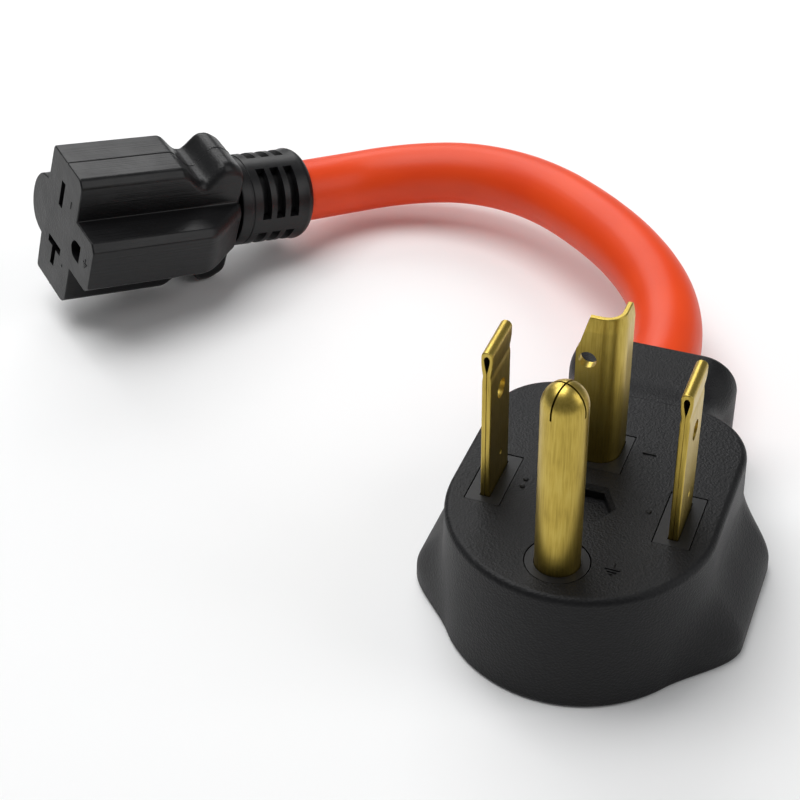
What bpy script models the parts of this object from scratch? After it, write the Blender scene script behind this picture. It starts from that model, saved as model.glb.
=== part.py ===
"""Dogbone power adapter: a right-angle four-blade plug, a short thick cable and an in-line connector.

The plug lies on its back with its blades up.  The world origin is on the table under the middle of
the two hot blades, +X runs from blade Y to blade X, +Y to the cable and +Z up the blades.
The connector has a frame of its own on an empty: local +Z runs from its face back to the cable.
Every size below is in millimetres; MM turns it into metres where a mesh is made.
"""

import math

import bmesh
import bpy
import numpy as np
from mathutils import Euler, Matrix, Vector

MM = 0.001

# Fits
GAP = 0.3  # between neighbours that would touch
OVER = 1.0  # how far a cutter runs past what it cuts
SEAM = 0.12  # how far an inner piece's boss stays below the moulded face
WELD = 0.001  # points this close are one
SHARP_ANGLE = 35.0

# Plug housing
PLUG_HEIGHT = 29.0
FACE_HALF_WIDTH = 28.3
FRONT_ARC_Y = -2.2
FACE_REAR_Y = 37.5
REAR_CORNER = 15.0
SIDE_TAPER = 0.7
RIM_ROUND = 1.5
BASE_ROUND = 1.0
PLUG_WALL = 4.0
PLUG_FLOOR = 3.5
FACE_WALL = 3.4

# Grip wings on the plug's sides
WING_REACH = 7.0
WING_TOP = 18.5
WING_FULL = 3.5
WING_FRONT = (-19.0, -3.0)
WING_REAR = (22.0, 37.0)

# Cable boot of the plug
BOOT_END_Y = 59.2
BOOT_HALF_WIDTH = 19.5
BOOT_WAIST = 1.6
BOOT_TOP = 27.9
BOOT_SADDLE = 1.5
BOOT_BOTTOM = 0.5
BOOT_CORNER = 8.0
BOOT_FOOT_CORNER = 4.5

# Hexagonal recess in the face
HEX_RADIUS = 5.8
HEX_CHAMFER = 1.0
HEX_DEPTH = 2.9
HEX_CENTRE_Y = -1.1

# Inner bridge that holds the blades
BRIDGE_REAR_Y = 26.5
BRIDGE_THICKNESS = 8.5
HOT_BOSS = (7.4, 16.0)
PIN_BOSS_RADIUS = 6.5
NEUTRAL_BOSS = (13.0, 12.8)

# Blades
BLADE_SPACING = 39.6
BLADE_WIDTH = 12.1
BLADE_THICKNESS = 2.0
BLADE_LENGTH = 36.2
BLADE_HOLE_RADIUS = 2.2
BLADE_HOLE_HEIGHT = 23.4
FOLD_BULGE = 0.22
FOLD_EYE = (0.55, 2.1)
FOLD_DROP = 1.9
TAIL_DROP = 2.2
NEUTRAL_CORNER = (2.7, 11.9)
NEUTRAL_LEGS = (9.6, 8.9)
NEUTRAL_BEND = 4.6
NEUTRAL_TIP_CUT = (2.3, 8.0)
NEUTRAL_HOLE_INSET = 2.5
NEUTRAL_HOLE_HEIGHT = 26.0
NEUTRAL_HOLE_RADIUS = 1.9
PIN_Y = -19.8
PIN_RADIUS = 4.6
PIN_LENGTH = 43.8
PIN_DOME = 5.0
PIN_WALL = 1.2
PIN_SLIT = (0.45, 6.0)
PIN_SLIT_TURN = 72

# Crimp barrels at the tails of the blades
BARREL_LENGTH = 7.5
BARREL_Z = 8.6
BARREL_WALL = 0.8

# Cable
CABLE_RADIUS = 8.4
JACKET_WALL = 2.0
JACKET_ENTRY_Y = 39.0
INSULATION_RADIUS = 2.5
COPPER_RADIUS = 1.35
STRAND_OFFSET = 3.15
FILLER_RADIUS = 1.0
FILLER_OFFSET = 4.75
EXTRA_TURNS = 1
RING_STEP = 10.0
SPLAY_STEP = 6.0
CABLE_ROUTE = (
    (0.0, 59.5, 16.5),
    (-0.4, 70.0, 16.8),
    (-2.6, 81.0, 17.4),
    (-6.8, 91.0, 18.2),
    (-12.8, 100.0, 18.7),
    (-20.2, 108.4, 18.9),
    (-28.0, 115.6, 18.8),
    (-36.6, 122.6, 18.3),
    (-45.4, 128.7, 17.7),
    (-55.2, 133.8, 16.8),
    (-65.7, 137.1, 15.7),
    (-76.4, 138.0, 14.6),
    (-87.3, 136.3, 13.3),
    (-97.2, 132.4, 12.3),
    (-105.9, 125.9, 12.2),
)

# Connector: place and pose
CONNECTOR_FACE = (-157.1, 57.5, 28.37)
CONNECTOR_HEADING = 53.9
CONNECTOR_PITCH = 12.0
CONNECTOR_ROLL = 9.4
FLEX_AXIS = (-55.2, 133.8, 16.8)

# Connector housing
BODY_BAR = (-8.4, 9.8)
BODY_HALF_HEIGHT = 19.0
BODY_FRONT = 28.0
BODY_WAIST = (35.0, 14.2)
BODY_GRIP = (40.8, 19.0)
GRIP_FALL = 3.0
LOBE_TAPER = (33.0, 50.0)
BODY_LENGTH = 47.0
SIDE_LOBE = (20.8, 7.4)
SIDE_LOBE_REAR = 11.5
ROUND_LOBE = (16.0, 8.4)
ROUND_LOBE_REAR = 10.5
CORNER_STEP = 1.8
CORNER_CUT = 1.2
FACE_PLATE = 2.2
BODY_WALL = 2.6

# Slots and contacts
SLOT_CENTRE = 9.15
SLOT_LENGTH = 7.3
SLOT_WIDTH = 2.1
TEE_BAR = (5.55, 7.65)
GROUND_SLOT = (8.9, 13.9, 2.55)
CARRIER_DEPTH = 21.0
CONTACT_DEPTH = 17.0
CONTACT_SHEET = 0.6
CONTACT_REACH = 1.0
CONTACT_BARREL_START = 24.4

# Strain relief
RELIEF_RADIUS = 12.2
RELIEF_END = 70.0
RELIEF_ROUND = 2.6
RELIEF_GROOVE = 0.25
RELIEF_OFFSET = (0.3, -0.9)
WINDOW_START = 53.4
WINDOW_PITCH = 4.25
WINDOW_WIDTH = 2.6
WINDOW_DEPTH = 2.3
WINDOW_HALF_ANGLE = 34.0
WINDOW_TURN = -41.0
WINDOW_ROWS = 3

# Looks: name, colour (sRGB hex), roughness, metallic
CHARCOAL = ("charcoal moulding", "#232226", 0.62, 0.0)
BRIDGE_GREY = ("grey moulding", "#2E2D30", 0.55, 0.0)
BRASS = ("brass", "#B7953F", 0.3, 1.0)
ORANGE = ("orange jacket", "#E0562C", 0.45, 0.0)
BLACK_WIRE = ("black insulation", "#1B1B1D", 0.5, 0.0)
WHITE_WIRE = ("white insulation", "#E6E4DD", 0.5, 0.0)
GREEN_WIRE = ("green insulation", "#1E7A3C", 0.5, 0.0)
COPPER = ("copper", "#B4693C", 0.32, 1.0)
PAPER = ("paper", "#C8B48A", 0.85, 0.0)
GLOSS_BLACK = ("glossy black moulding", "#1A1A1C", 0.4, 0.0)
CARRIER_BROWN = ("brown moulding", "#5A3A22", 0.5, 0.0)


def clear_scene():
    for obj in list(bpy.data.objects):
        bpy.data.objects.remove(obj, do_unlink=True)


def new_collection(name):
    collection = bpy.data.collections.new(name)
    bpy.context.scene.collection.children.link(collection)
    return collection


def linear(channel):
    return channel / 12.92 if channel <= 0.04045 else ((channel + 0.055) / 1.055) ** 2.4


def material(name, look):
    kind, hexadecimal, roughness, metallic = look
    result = bpy.data.materials.new(f"{name} {kind}")
    result.use_nodes = True
    shader = result.node_tree.nodes["Principled BSDF"]
    rgb = [linear(int(hexadecimal[i : i + 2], 16) / 255) for i in (1, 3, 5)]
    shader.inputs["Base Color"].default_value = (*rgb, 1.0)
    shader.inputs["Roughness"].default_value = roughness
    shader.inputs["Metallic"].default_value = metallic
    result.diffuse_color = (*rgb, 1.0)
    return result


class Shop:
    """Where finished parts and hidden cutters go."""

    parts = None
    cutters = None


TURNED_TO = {
    "X": Euler((math.pi / 2, 0, math.pi / 2)),
    "Y": Euler((math.pi / 2, 0, 0)),
    "Z": Euler((0, 0, 0)),
}


def place(obj, look, parent=None, at=(0, 0, 0), axis="Z"):
    """Puts an object where it belongs; without a look it is a hidden cutter."""
    if look is None:
        Shop.cutters.objects.link(obj)
        obj.hide_render = True
        obj.display_type = "WIRE"
    else:
        Shop.parts.objects.link(obj)
        obj.data.materials.clear()
        obj.data.materials.append(material(obj.name, look))
    if obj.type == "MESH":
        obj.data.shade_smooth()
        obj.data.set_sharp_from_angle(angle=math.radians(SHARP_ANGLE))
    obj.parent = parent
    obj.location = Vector(at) * MM
    obj.rotation_euler = TURNED_TO[axis]
    return obj


def finished(name, work, look, parent, at=(0, 0, 0), axis="Z"):
    """An object from a bmesh whose faces are turned outwards."""
    bmesh.ops.recalc_face_normals(work, faces=work.faces)
    mesh = bpy.data.meshes.new(name)
    work.to_mesh(mesh)
    work.free()
    return place(bpy.data.objects.new(name, mesh), look, parent, at, axis)


def as_mesh(guide, look, parent=None, axis="Z"):
    """A curve turned into a closed mesh with its caps welded, so that a Boolean can use it."""
    bpy.context.view_layer.update()
    graph = bpy.context.evaluated_depsgraph_get()
    mesh = bpy.data.meshes.new_from_object(guide.evaluated_get(graph))
    work = bmesh.new()
    work.from_mesh(mesh)
    bmesh.ops.remove_doubles(work, verts=work.verts, dist=WELD * MM)
    name, at = guide.name, guide.location / MM
    bpy.data.objects.remove(guide, do_unlink=True)
    bpy.data.meshes.remove(mesh)
    return finished(name, work, look, parent, at, axis)


def prism(name, outline, low, high, look=None, parent=None, axis="Z"):
    """A flat outline extruded along an axis: (x, y) along Z, (x, z) along Y or (y, z) along X."""
    curve = bpy.data.curves.new(name, "CURVE")
    curve.dimensions = "2D"
    curve.fill_mode = "BOTH"
    curve.extrude = (high - low) / 2 * MM
    spline = curve.splines.new("POLY")
    spline.points.add(len(outline) - 1)
    for point, (x, y) in zip(spline.points, outline):
        point.co = (x * MM, y * MM, 0.0, 1.0)
    spline.use_cyclic_u = True
    guide = bpy.data.objects.new(name, curve)
    Shop.cutters.objects.link(guide)
    middle = (low + high) / 2 * MM
    guide.location = {"X": (middle, 0, 0), "Y": (0, middle, 0), "Z": (0, 0, middle)}[axis]
    return as_mesh(guide, look, parent, axis)


def cylinder(name, centre, radius, length, sides, look=None, parent=None, axis="Z", top=None):
    """A cylinder about its centre, or a cone when its top radius is given."""
    work = bmesh.new()
    upper = radius if top is None else top
    turn = Matrix.Rotation(math.pi / 2, 4, "Z")
    bmesh.ops.create_cone(work, cap_ends=True, segments=sides, radius1=radius * MM,
                          radius2=upper * MM, depth=length * MM, matrix=turn)
    return finished(name, work, look, parent, centre, axis)


def block(name, centre, size, look=None, parent=None):
    work = bmesh.new()
    bmesh.ops.create_cube(work, size=MM)
    bmesh.ops.scale(work, vec=size, verts=work.verts)
    return finished(name, work, look, parent, centre)


def turned(name, profile, at, sides, look=None, parent=None):
    """A lathe profile of (radius, height) swept round Z, run from the top down its outer side."""
    work = bmesh.new()
    rim = [work.verts.new((r * MM, 0.0, z * MM)) for r, z in profile]
    for first, second in zip(rim, rim[1:]):
        work.edges.new((first, second))
    if profile[0][0] > 0:
        work.edges.new((rim[-1], rim[0]))
    mesh = bpy.data.meshes.new(name)
    work.to_mesh(mesh)
    work.free()
    obj = place(bpy.data.objects.new(name, mesh), look, parent, at)
    sweep = obj.modifiers.new("sweep", "SCREW")
    sweep.steps = sides
    sweep.render_steps = sides
    sweep.use_merge_vertices = True
    sweep.merge_threshold = WELD * MM
    sweep.use_smooth_shade = True
    return obj


def loft(name, rings, look=None, parent=None):
    """A closed solid through unlike sections of equal length, with a flat cap at each end."""
    work = bmesh.new()
    rows = [[work.verts.new(Vector(p) * MM) for p in ring] for ring in rings]
    for lower, upper in zip(rows, rows[1:]):
        for i, j in zip(range(len(lower)), list(range(1, len(lower))) + [0]):
            work.faces.new((lower[i], lower[j], upper[j], upper[i]))
    work.faces.new(rows[0])
    work.faces.new(rows[-1])
    return finished(name, work, look, parent)


def rectangle(x0, x1, y0, y1):
    return [(x0, y0), (x1, y0), (x1, y1), (x0, y1)]


def arc(centre, radius, start, end, steps):
    """Points of an arc, angles in degrees."""
    angles = np.radians(np.linspace(start, end, steps))
    return [(centre[0] + radius * math.cos(a), centre[1] + radius * math.sin(a)) for a in angles]


def circle(centre, radius, sides):
    return arc(centre, radius, 0, 360, sides + 1)[:-1]


def boolean(target, tool, operation):
    step = target.modifiers.new(f"{operation.lower()} {tool.name}", "BOOLEAN")
    step.operation = operation
    step.solver = "EXACT"
    step.object = tool
    return target


def cut(target, tool):
    return boolean(target, tool, "DIFFERENCE")


def join(target, tool):
    return boolean(target, tool, "UNION")


def smooth_step(x, start, end):
    t = min(max((x - start) / (end - start), 0.0), 1.0)
    return t * t * (3 - 2 * t)


def quarter_round(radius, steps):
    """(inset, drop) pairs from the wall to the flat of a rounded edge."""
    pairs = []
    for i in range(steps + 1):
        a = math.radians(90 * i / steps)
        pairs.append((radius * (1 - math.cos(a)), radius * (1 - math.sin(a))))
    return pairs


# ---------------------------------------------------------------- plug


def wing(y):
    return smooth_step(y, *WING_FRONT) * (1 - smooth_step(y, *WING_REAR))


def plug_outline(offset=0.0, wing_reach=0.0, rear_y=FACE_REAR_Y, corner=REAR_CORNER, side_steps=18):
    """The plug's plan: a half round front, straight sides and a rounded rear, grown by offset."""
    half = FACE_HALF_WIDTH + offset
    rear = rear_y + offset
    corner = max(corner + offset, 1.0)
    front = arc((0, FRONT_ARC_Y), half, 180, 360, 37)
    sides = np.linspace(FRONT_ARC_Y, rear - corner, side_steps)[1:-1]
    right = [(half, y) for y in sides]
    rear_right = arc((half - corner, rear - corner), corner, 0, 90, 10)
    rear_left = [(-x, y) for x, y in reversed(rear_right)]
    left = [(-half, y) for y in reversed(sides)]
    points = front + right + rear_right + rear_left + left
    return [(x + math.copysign(wing_reach * wing(y), x) * (abs(x) > 1), y) for x, y in points]


def plug_ring(z, inset):
    grow = SIDE_TAPER * (1 - z / PLUG_HEIGHT) - inset
    reach = WING_REACH * (1 - smooth_step(z, WING_FULL, WING_TOP))
    return [(x, y, z) for x, y in plug_outline(grow, reach)]


def boot_section(y, narrow=0.0):
    """A rounded oblong across the cable boot, pinched between the face and its end lip."""
    t = (y - FACE_REAR_Y) / (BOOT_END_Y - FACE_REAR_Y)
    pinch = math.sin(math.pi * min(max(t, 0.0), 0.85) / 0.85) ** 2
    half = BOOT_HALF_WIDTH - BOOT_WAIST * pinch - narrow + 1.6 * max(-t, 0.0)
    top = BOOT_TOP - BOOT_SADDLE * pinch - narrow
    low = BOOT_BOTTOM + narrow
    corners = (
        (half - BOOT_CORNER, top - BOOT_CORNER, BOOT_CORNER, 0),
        (BOOT_CORNER - half, top - BOOT_CORNER, BOOT_CORNER, 90),
        (BOOT_FOOT_CORNER - half, low + BOOT_FOOT_CORNER, BOOT_FOOT_CORNER, 180),
        (half - BOOT_FOOT_CORNER, low + BOOT_FOOT_CORNER, BOOT_FOOT_CORNER, 270),
    )
    points = []
    for x, z, radius, start in corners:
        points += arc((x, z), radius, start, start + 90, 8)
    return [(x, y, z) for x, z in points]


def make_plug_housing():
    rings = []
    for inset, drop in reversed(quarter_round(BASE_ROUND, 3)):
        rings.append(plug_ring(drop, inset))
    middle = [*np.linspace(WING_FULL, WING_TOP, 8), 24.5]
    rings += [plug_ring(z, 0.0) for z in middle]
    for inset, drop in quarter_round(RIM_ROUND, 4):
        rings.append(plug_ring(PLUG_HEIGHT - drop, inset))
    housing = loft("plug_housing", rings, CHARCOAL)

    stations = list(np.linspace(FACE_REAR_Y - 9.0, BOOT_END_Y - 2.0, 12))
    sections = [boot_section(y) for y in stations]
    for inset, drop in quarter_round(2.0, 4)[1:]:
        sections.append(boot_section(BOOT_END_Y - drop, inset * 0.8))
    join(housing, loft("boot_shape", sections))

    chamber = plug_outline(-PLUG_WALL)
    cut(housing, prism("chamber_cutter", chamber, PLUG_FLOOR, PLUG_HEIGHT - FACE_WALL))
    inside = FACE_REAR_Y - PLUG_WALL - OVER
    length = BOOT_END_Y + OVER - inside
    middle = (0, inside + length / 2, CABLE_ROUTE[0][2])
    cut(housing, cylinder("cable_bore_cutter", middle, CABLE_RADIUS + GAP, length, 24, axis="Y"))
    top = PLUG_HEIGHT + OVER
    low = PLUG_HEIGHT - FACE_WALL - OVER
    for name, outline in boss_outlines(GAP).items():
        cut(housing, prism(f"{name}_window_cutter", outline, low, top))
    chamfer = HEX_CHAMFER + OVER
    middle = (0, HEX_CENTRE_Y, top - chamfer / 2)
    cut(housing, cylinder("hex_chamfer_cutter", middle, HEX_RADIUS, chamfer, 6, top=HEX_RADIUS + chamfer))
    middle = (0, HEX_CENTRE_Y, PLUG_HEIGHT - HEX_DEPTH / 2)
    cut(housing, cylinder("hex_recess_cutter", middle, HEX_RADIUS, HEX_DEPTH, 6))
    return housing


def centred(cx, cy, width, depth, grow):
    x, y = width / 2 + grow, depth / 2 + grow
    return rectangle(cx - x, cx + x, cy - y, cy + y)


def neutral_boss_centre():
    x = NEUTRAL_CORNER[0] - NEUTRAL_LEGS[0] / 2
    y = NEUTRAL_CORNER[1] + NEUTRAL_LEGS[1] / 2
    return x, y


def boss_outlines(grow):
    """The plan of each boss that brings a blade up through the face."""
    half = BLADE_SPACING / 2
    return {
        "x_boss": centred(half, 0, *HOT_BOSS, grow),
        "y_boss": centred(-half, 0, *HOT_BOSS, grow),
        "neutral_boss": centred(*neutral_boss_centre(), *NEUTRAL_BOSS, grow),
        "ground_boss": circle((0, PIN_Y), PIN_BOSS_RADIUS + grow, 28),
    }


def bridge_levels():
    top = PLUG_HEIGHT - FACE_WALL - GAP
    return top - BRIDGE_THICKNESS, top


def make_bridge():
    low, top = bridge_levels()
    outline = plug_outline(-PLUG_WALL - GAP, rear_y=BRIDGE_REAR_Y + PLUG_WALL, corner=8.0)
    bridge = prism("blade_bridge", outline, low, top, BRIDGE_GREY)
    for name, boss in boss_outlines(0.0).items():
        join(bridge, prism(f"{name}_shape", boss, top - OVER, PLUG_HEIGHT - SEAM))
    passage = (low - OVER, PLUG_HEIGHT + OVER)
    half = BLADE_SPACING / 2
    for side in (-1, 1):
        slot = centred(side * half, 0, BLADE_THICKNESS, BLADE_WIDTH, GAP / 2)
        cut(bridge, prism(f"hot_slot_cutter_{side + 1}", slot, *passage))
    cut(bridge, prism("neutral_slot_cutter", neutral_outline(GAP / 2), *passage))
    cut(bridge, prism("pin_hole_cutter", circle((0, PIN_Y), PIN_RADIUS + GAP / 2, 28), *passage))
    return bridge


def folded_profile():
    """Edge view of a folded strip blade: two leaves and the fold's bulge at the tip."""
    half = BLADE_THICKNESS / 2
    wide = half + FOLD_BULGE
    tip = PLUG_HEIGHT + BLADE_LENGTH
    crown = arc((0, tip - wide), wide, 0, 180, 11)
    right = [(half, 0.0), (half, tip - 6.5), (half - 0.12, tip - 5.6), (wide - 0.05, tip - 3.4)]
    left = [(-x, z) for x, z in reversed(right)]
    return right, crown, left


def hot_blade(name, side):
    low, _ = bridge_levels()
    bottom = low - TAIL_DROP
    centre = side * BLADE_SPACING / 2
    right, crown, left = folded_profile()
    right[0] = (right[0][0], bottom)
    left[-1] = (left[-1][0], bottom)
    outline = [(centre + x, z) for x, z in right + crown + left]
    width = BLADE_WIDTH / 2
    blade = prism(name, outline, -width, width, BRASS, axis="Y")
    eye_z = PLUG_HEIGHT + BLADE_LENGTH - FOLD_DROP - FOLD_EYE[1] / 2
    eye = [(centre + FOLD_EYE[0] * math.cos(a), eye_z + FOLD_EYE[1] * 0.6 * math.sin(a))
           for a in np.linspace(0, 2 * math.pi, 13)[:-1]]
    eye[9] = (centre, eye_z - FOLD_EYE[1] * 1.3)
    cut(blade, prism(f"{name}_eye_cutter", eye, -width - OVER, width + OVER, axis="Y"))
    hole = circle((0.4, PLUG_HEIGHT + BLADE_HOLE_HEIGHT), BLADE_HOLE_RADIUS, 20)
    reach = BLADE_THICKNESS / 2 + OVER
    cut(blade, prism(f"{name}_hole_cutter", hole, centre - reach, centre + reach, axis="X"))
    return add_barrel(blade, (centre, 0.0))


def add_barrel(blade, at):
    """A crimp barrel along Y, rolled out of the blade's tail."""
    low, _ = bridge_levels()
    x, y = at
    outer = COPPER_RADIUS + GAP + BARREL_WALL
    neck_top = low - TAIL_DROP + OVER
    neck_foot = BARREL_Z + outer - BARREL_WALL / 2
    size = (BLADE_THICKNESS * 0.9, BARREL_LENGTH - 1.0, neck_top - neck_foot)
    join(blade, block(f"{blade.name}_neck_shape", (x, y, (neck_top + neck_foot) / 2), size))
    middle = (x, y, BARREL_Z)
    join(blade, cylinder(f"{blade.name}_barrel_shape", middle, outer, BARREL_LENGTH, 14, axis="Y"))
    through = BARREL_LENGTH + 2 * OVER
    bore = cylinder(f"{blade.name}_barrel_cutter", middle, COPPER_RADIUS + GAP, through, 12, axis="Y")
    return cut(blade, bore)


def neutral_outline(grow=0.0):
    """Plan of the L-shaped blade: its corner is a wide bend and its legs run to -X and +Y."""
    cx, cy = NEUTRAL_CORNER
    leg_x, leg_y = NEUTRAL_LEGS
    outer = NEUTRAL_BEND + grow
    inner = NEUTRAL_BEND - BLADE_THICKNESS - grow
    centre = (cx - NEUTRAL_BEND, cy + NEUTRAL_BEND)
    points = [(cx - leg_x - grow, cy - grow)] + arc(centre, outer, 270, 360, 8)
    points += [(cx + grow, cy + leg_y + grow), (cx - BLADE_THICKNESS - grow, cy + leg_y + grow)]
    points += arc(centre, inner, 360, 270, 6)
    points += [(cx - leg_x - grow, cy + BLADE_THICKNESS + grow)]
    return points


def make_neutral_blade():
    low, _ = bridge_levels()
    cx, cy = NEUTRAL_CORNER
    tip = PLUG_HEIGHT + BLADE_LENGTH
    blade = prism("neutral_blade", neutral_outline(), low - TAIL_DROP, tip, BRASS)
    edge = cx - NEUTRAL_LEGS[0]
    across, down = NEUTRAL_TIP_CUT
    corner = [(edge - OVER, tip + OVER), (edge - OVER, tip - down - OVER * down / across),
              (edge, tip - down), (edge + across, tip), (edge + across, tip + OVER)]
    y0, y1 = cy - OVER, cy + BLADE_THICKNESS + OVER
    cut(blade, prism("neutral_tip_cutter", corner, y0, y1, axis="Y"))
    centre = (edge + NEUTRAL_HOLE_INSET, PLUG_HEIGHT + NEUTRAL_HOLE_HEIGHT)
    hole = circle(centre, NEUTRAL_HOLE_RADIUS, 16)
    cut(blade, prism("neutral_hole_cutter", hole, y0, y1, axis="Y"))
    return blade


def make_ground_pin():
    low, _ = bridge_levels()
    bottom = low - TAIL_DROP
    tip = PLUG_HEIGHT + PIN_LENGTH
    shoulder = tip - PIN_DOME
    profile = [(0.0, tip)]
    for angle in (80, 66, 52, 38, 24, 10):
        a = math.radians(angle)
        profile.append((PIN_RADIUS * math.cos(a), shoulder + PIN_DOME * math.sin(a)))
    profile += [(PIN_RADIUS, shoulder - 1.0), (PIN_RADIUS, bottom), (0.0, bottom)]
    pin = turned("ground_pin", profile, (0, PIN_Y, 0), 28, BRASS)
    width, depth = PIN_SLIT
    reach = 2 * (PIN_RADIUS + OVER)
    for turn in (PIN_SLIT_TURN, PIN_SLIT_TURN + 90):
        middle = (0, PIN_Y, tip + OVER - (depth + OVER) / 2)
        slit = block(f"pin_slit_cutter_{turn}", middle, (reach, width, depth + OVER))
        slit.rotation_euler.z = math.radians(turn)
        cut(pin, slit)
    length = shoulder - low - OVER
    middle = (0, PIN_Y, low + OVER + length / 2)
    cut(pin, cylinder("pin_bore_cutter", middle, PIN_RADIUS - PIN_WALL, length, 20))
    return add_barrel(pin, (0.0, PIN_Y))


# ---------------------------------------------------------------- connector


def connector_frame():
    """An empty on the flexing cable's axis carries a second one in the middle of the connector's face."""
    axis = bpy.data.objects.new("cable_flex_axis", None)
    Shop.parts.objects.link(axis)
    axis.location = Vector(FLEX_AXIS) * MM
    frame = bpy.data.objects.new("connector_frame", None)
    Shop.parts.objects.link(frame)
    frame.parent = axis
    frame.matrix_local = Matrix.Translation(Vector(FLEX_AXIS) * -MM) @ connector_matrix(MM)
    return frame


def connector_matrix(unit=1.0):
    """Local +Z back along the cable, local +X to the earth slot's side, local +Y downwards."""
    heading, pitch = math.radians(CONNECTOR_HEADING), math.radians(CONNECTOR_PITCH)
    back = Vector((math.cos(heading) * math.cos(pitch), math.sin(heading) * math.cos(pitch), -math.sin(pitch)))
    side = back.cross(Vector((0, 0, 1))).normalized()
    turn = Matrix.Rotation(math.radians(CONNECTOR_ROLL), 3, back)
    side = turn @ side
    down = back.cross(side)
    rotation = Matrix((side, down, back)).transposed()
    return Matrix.Translation(Vector(CONNECTOR_FACE) * unit) @ rotation.to_4x4()


def lobe_sizes(depth):
    """Half height of the upright bar, reach of the side lobe and of the round lobe at this depth."""
    waist_z, waist = BODY_WAIST
    grip_z, grip = BODY_GRIP
    height = BODY_HALF_HEIGHT - (BODY_HALF_HEIGHT - waist) * smooth_step(depth, BODY_FRONT, waist_z)
    height += (grip - waist) * smooth_step(depth, waist_z + 0.5, grip_z)
    height -= GRIP_FALL * smooth_step(depth, grip_z + 1.0, BODY_LENGTH + 1.5)
    back = smooth_step(depth, *LOBE_TAPER)
    side = SIDE_LOBE[0] + (SIDE_LOBE_REAR - SIDE_LOBE[0]) * back
    rounded = ROUND_LOBE[0] + (ROUND_LOBE_REAR - ROUND_LOBE[0]) * back
    return height, side, rounded


def body_section(depth, inset=0.0):
    """The four-lobed outline at a depth, shrunk by inset."""
    height, side, rounded = lobe_sizes(depth)
    left, right = BODY_BAR[0] + inset, BODY_BAR[1] - inset
    height -= inset
    side = max(side - inset, right + 0.4)
    rounded = max(rounded - inset, 0.6 - left)
    lobe = SIDE_LOBE[1] - inset
    mouth = ROUND_LOBE[1] - inset
    step = CORNER_STEP
    cut_ = CORNER_CUT
    half = [
        (left + cut_, height),
        (right - step, height),
        (right - step, height - step * 0.9),
        (right, height - step * 1.4),
        (right, lobe),
        (side - step * 0.9, lobe),
        (side, lobe - step),
    ]
    points = [(x, -y) for x, y in half] + [(x, y) for x, y in reversed(half)]
    points += [(left, height - cut_), (left, mouth)]
    for angle in (60, 30, 0, -30, -60):
        a = math.radians(angle)
        points.append((left - (rounded + left) * math.cos(a) ** 0.8, mouth * math.sin(a)))
    points += [(left, -mouth), (left, cut_ - height)]
    return [(x, y, depth) for x, y in points]


def slot_outlines():
    half_width = SLOT_WIDTH / 2
    upper = rectangle(-half_width, half_width, -SLOT_CENTRE - SLOT_LENGTH / 2, -SLOT_CENTRE + SLOT_LENGTH / 2)
    bar0, bar1 = TEE_BAR
    foot = SLOT_CENTRE + SLOT_LENGTH / 2
    wide = SLOT_LENGTH / 2
    tee = [(-wide, bar0), (wide, bar0), (wide, bar1), (half_width, bar1),
           (half_width, foot), (-half_width, foot), (-half_width, bar1), (-wide, bar1)]
    near, far, half = GROUND_SLOT
    ground = [(far, -half), (far, half)] + arc((near + half, 0), half, 90, 270, 11)
    return {"straight": upper, "tee": tee, "ground": ground}


def make_connector_housing(frame):
    depths = [0.0, 0.5, 12.0, BODY_FRONT] + list(np.linspace(BODY_FRONT + 1.5, BODY_LENGTH - 1.4, 12))
    rings = [body_section(d, 0.35 if d == 0 else 0.0) for d in depths]
    rings += [body_section(BODY_LENGTH - 0.5, 0.4), body_section(BODY_LENGTH, 1.3)]
    housing = loft("connector_housing", rings, GLOSS_BLACK, frame)
    pocket = [body_section(d, BODY_WALL) for d in (FACE_PLATE, BODY_FRONT)]
    pocket += [body_section(d, BODY_WALL) for d in np.linspace(BODY_FRONT + 2, BODY_LENGTH - 4.5, 6)]
    cut(housing, loft("carrier_pocket_cutter", pocket, None, frame))
    middle = (*RELIEF_OFFSET, BODY_LENGTH - 2.5)
    cut(housing, cylinder("connector_bore_cutter", middle, CABLE_RADIUS + GAP, 7.0, 24, None, frame))
    for name, outline in slot_outlines().items():
        cut(housing, prism(f"{name}_slot_cutter", outline, -OVER, FACE_PLATE + OVER, None, frame))
    return housing


def make_carrier(frame):
    """The inner block that holds the contacts behind the face."""
    start = FACE_PLATE + GAP
    rings = [body_section(d, BODY_WALL + GAP) for d in (start, start + CARRIER_DEPTH)]
    carrier = loft("contact_carrier", rings, CARRIER_BROWN, frame)
    for name, (low, high) in contact_boxes(GAP).items():
        cell = rectangle(low[0], high[0], low[1], high[1])
        cut(carrier, prism(f"{name}_cell_cutter", cell, start - OVER, start + CARRIER_DEPTH + OVER, None, frame))
    return carrier


def contact_boxes(grow):
    """Plan box of each contact as (low, high) corners."""
    reach = SLOT_WIDTH / 2 + CONTACT_REACH
    half = SLOT_LENGTH / 2 + 0.3
    near, far, wide = GROUND_SLOT
    boxes = {
        "straight": ((-reach, -SLOT_CENTRE - half), (reach, -SLOT_CENTRE + half)),
        "tee": ((-half, TEE_BAR[0] - 0.4), (half, SLOT_CENTRE + half)),
        "ground": ((near - 0.3, -wide - 0.3), (far + 0.3, wide + 0.3)),
    }
    return {k: ((a[0] - grow, a[1] - grow), (b[0] + grow, b[1] + grow)) for k, (a, b) in boxes.items()}


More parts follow.
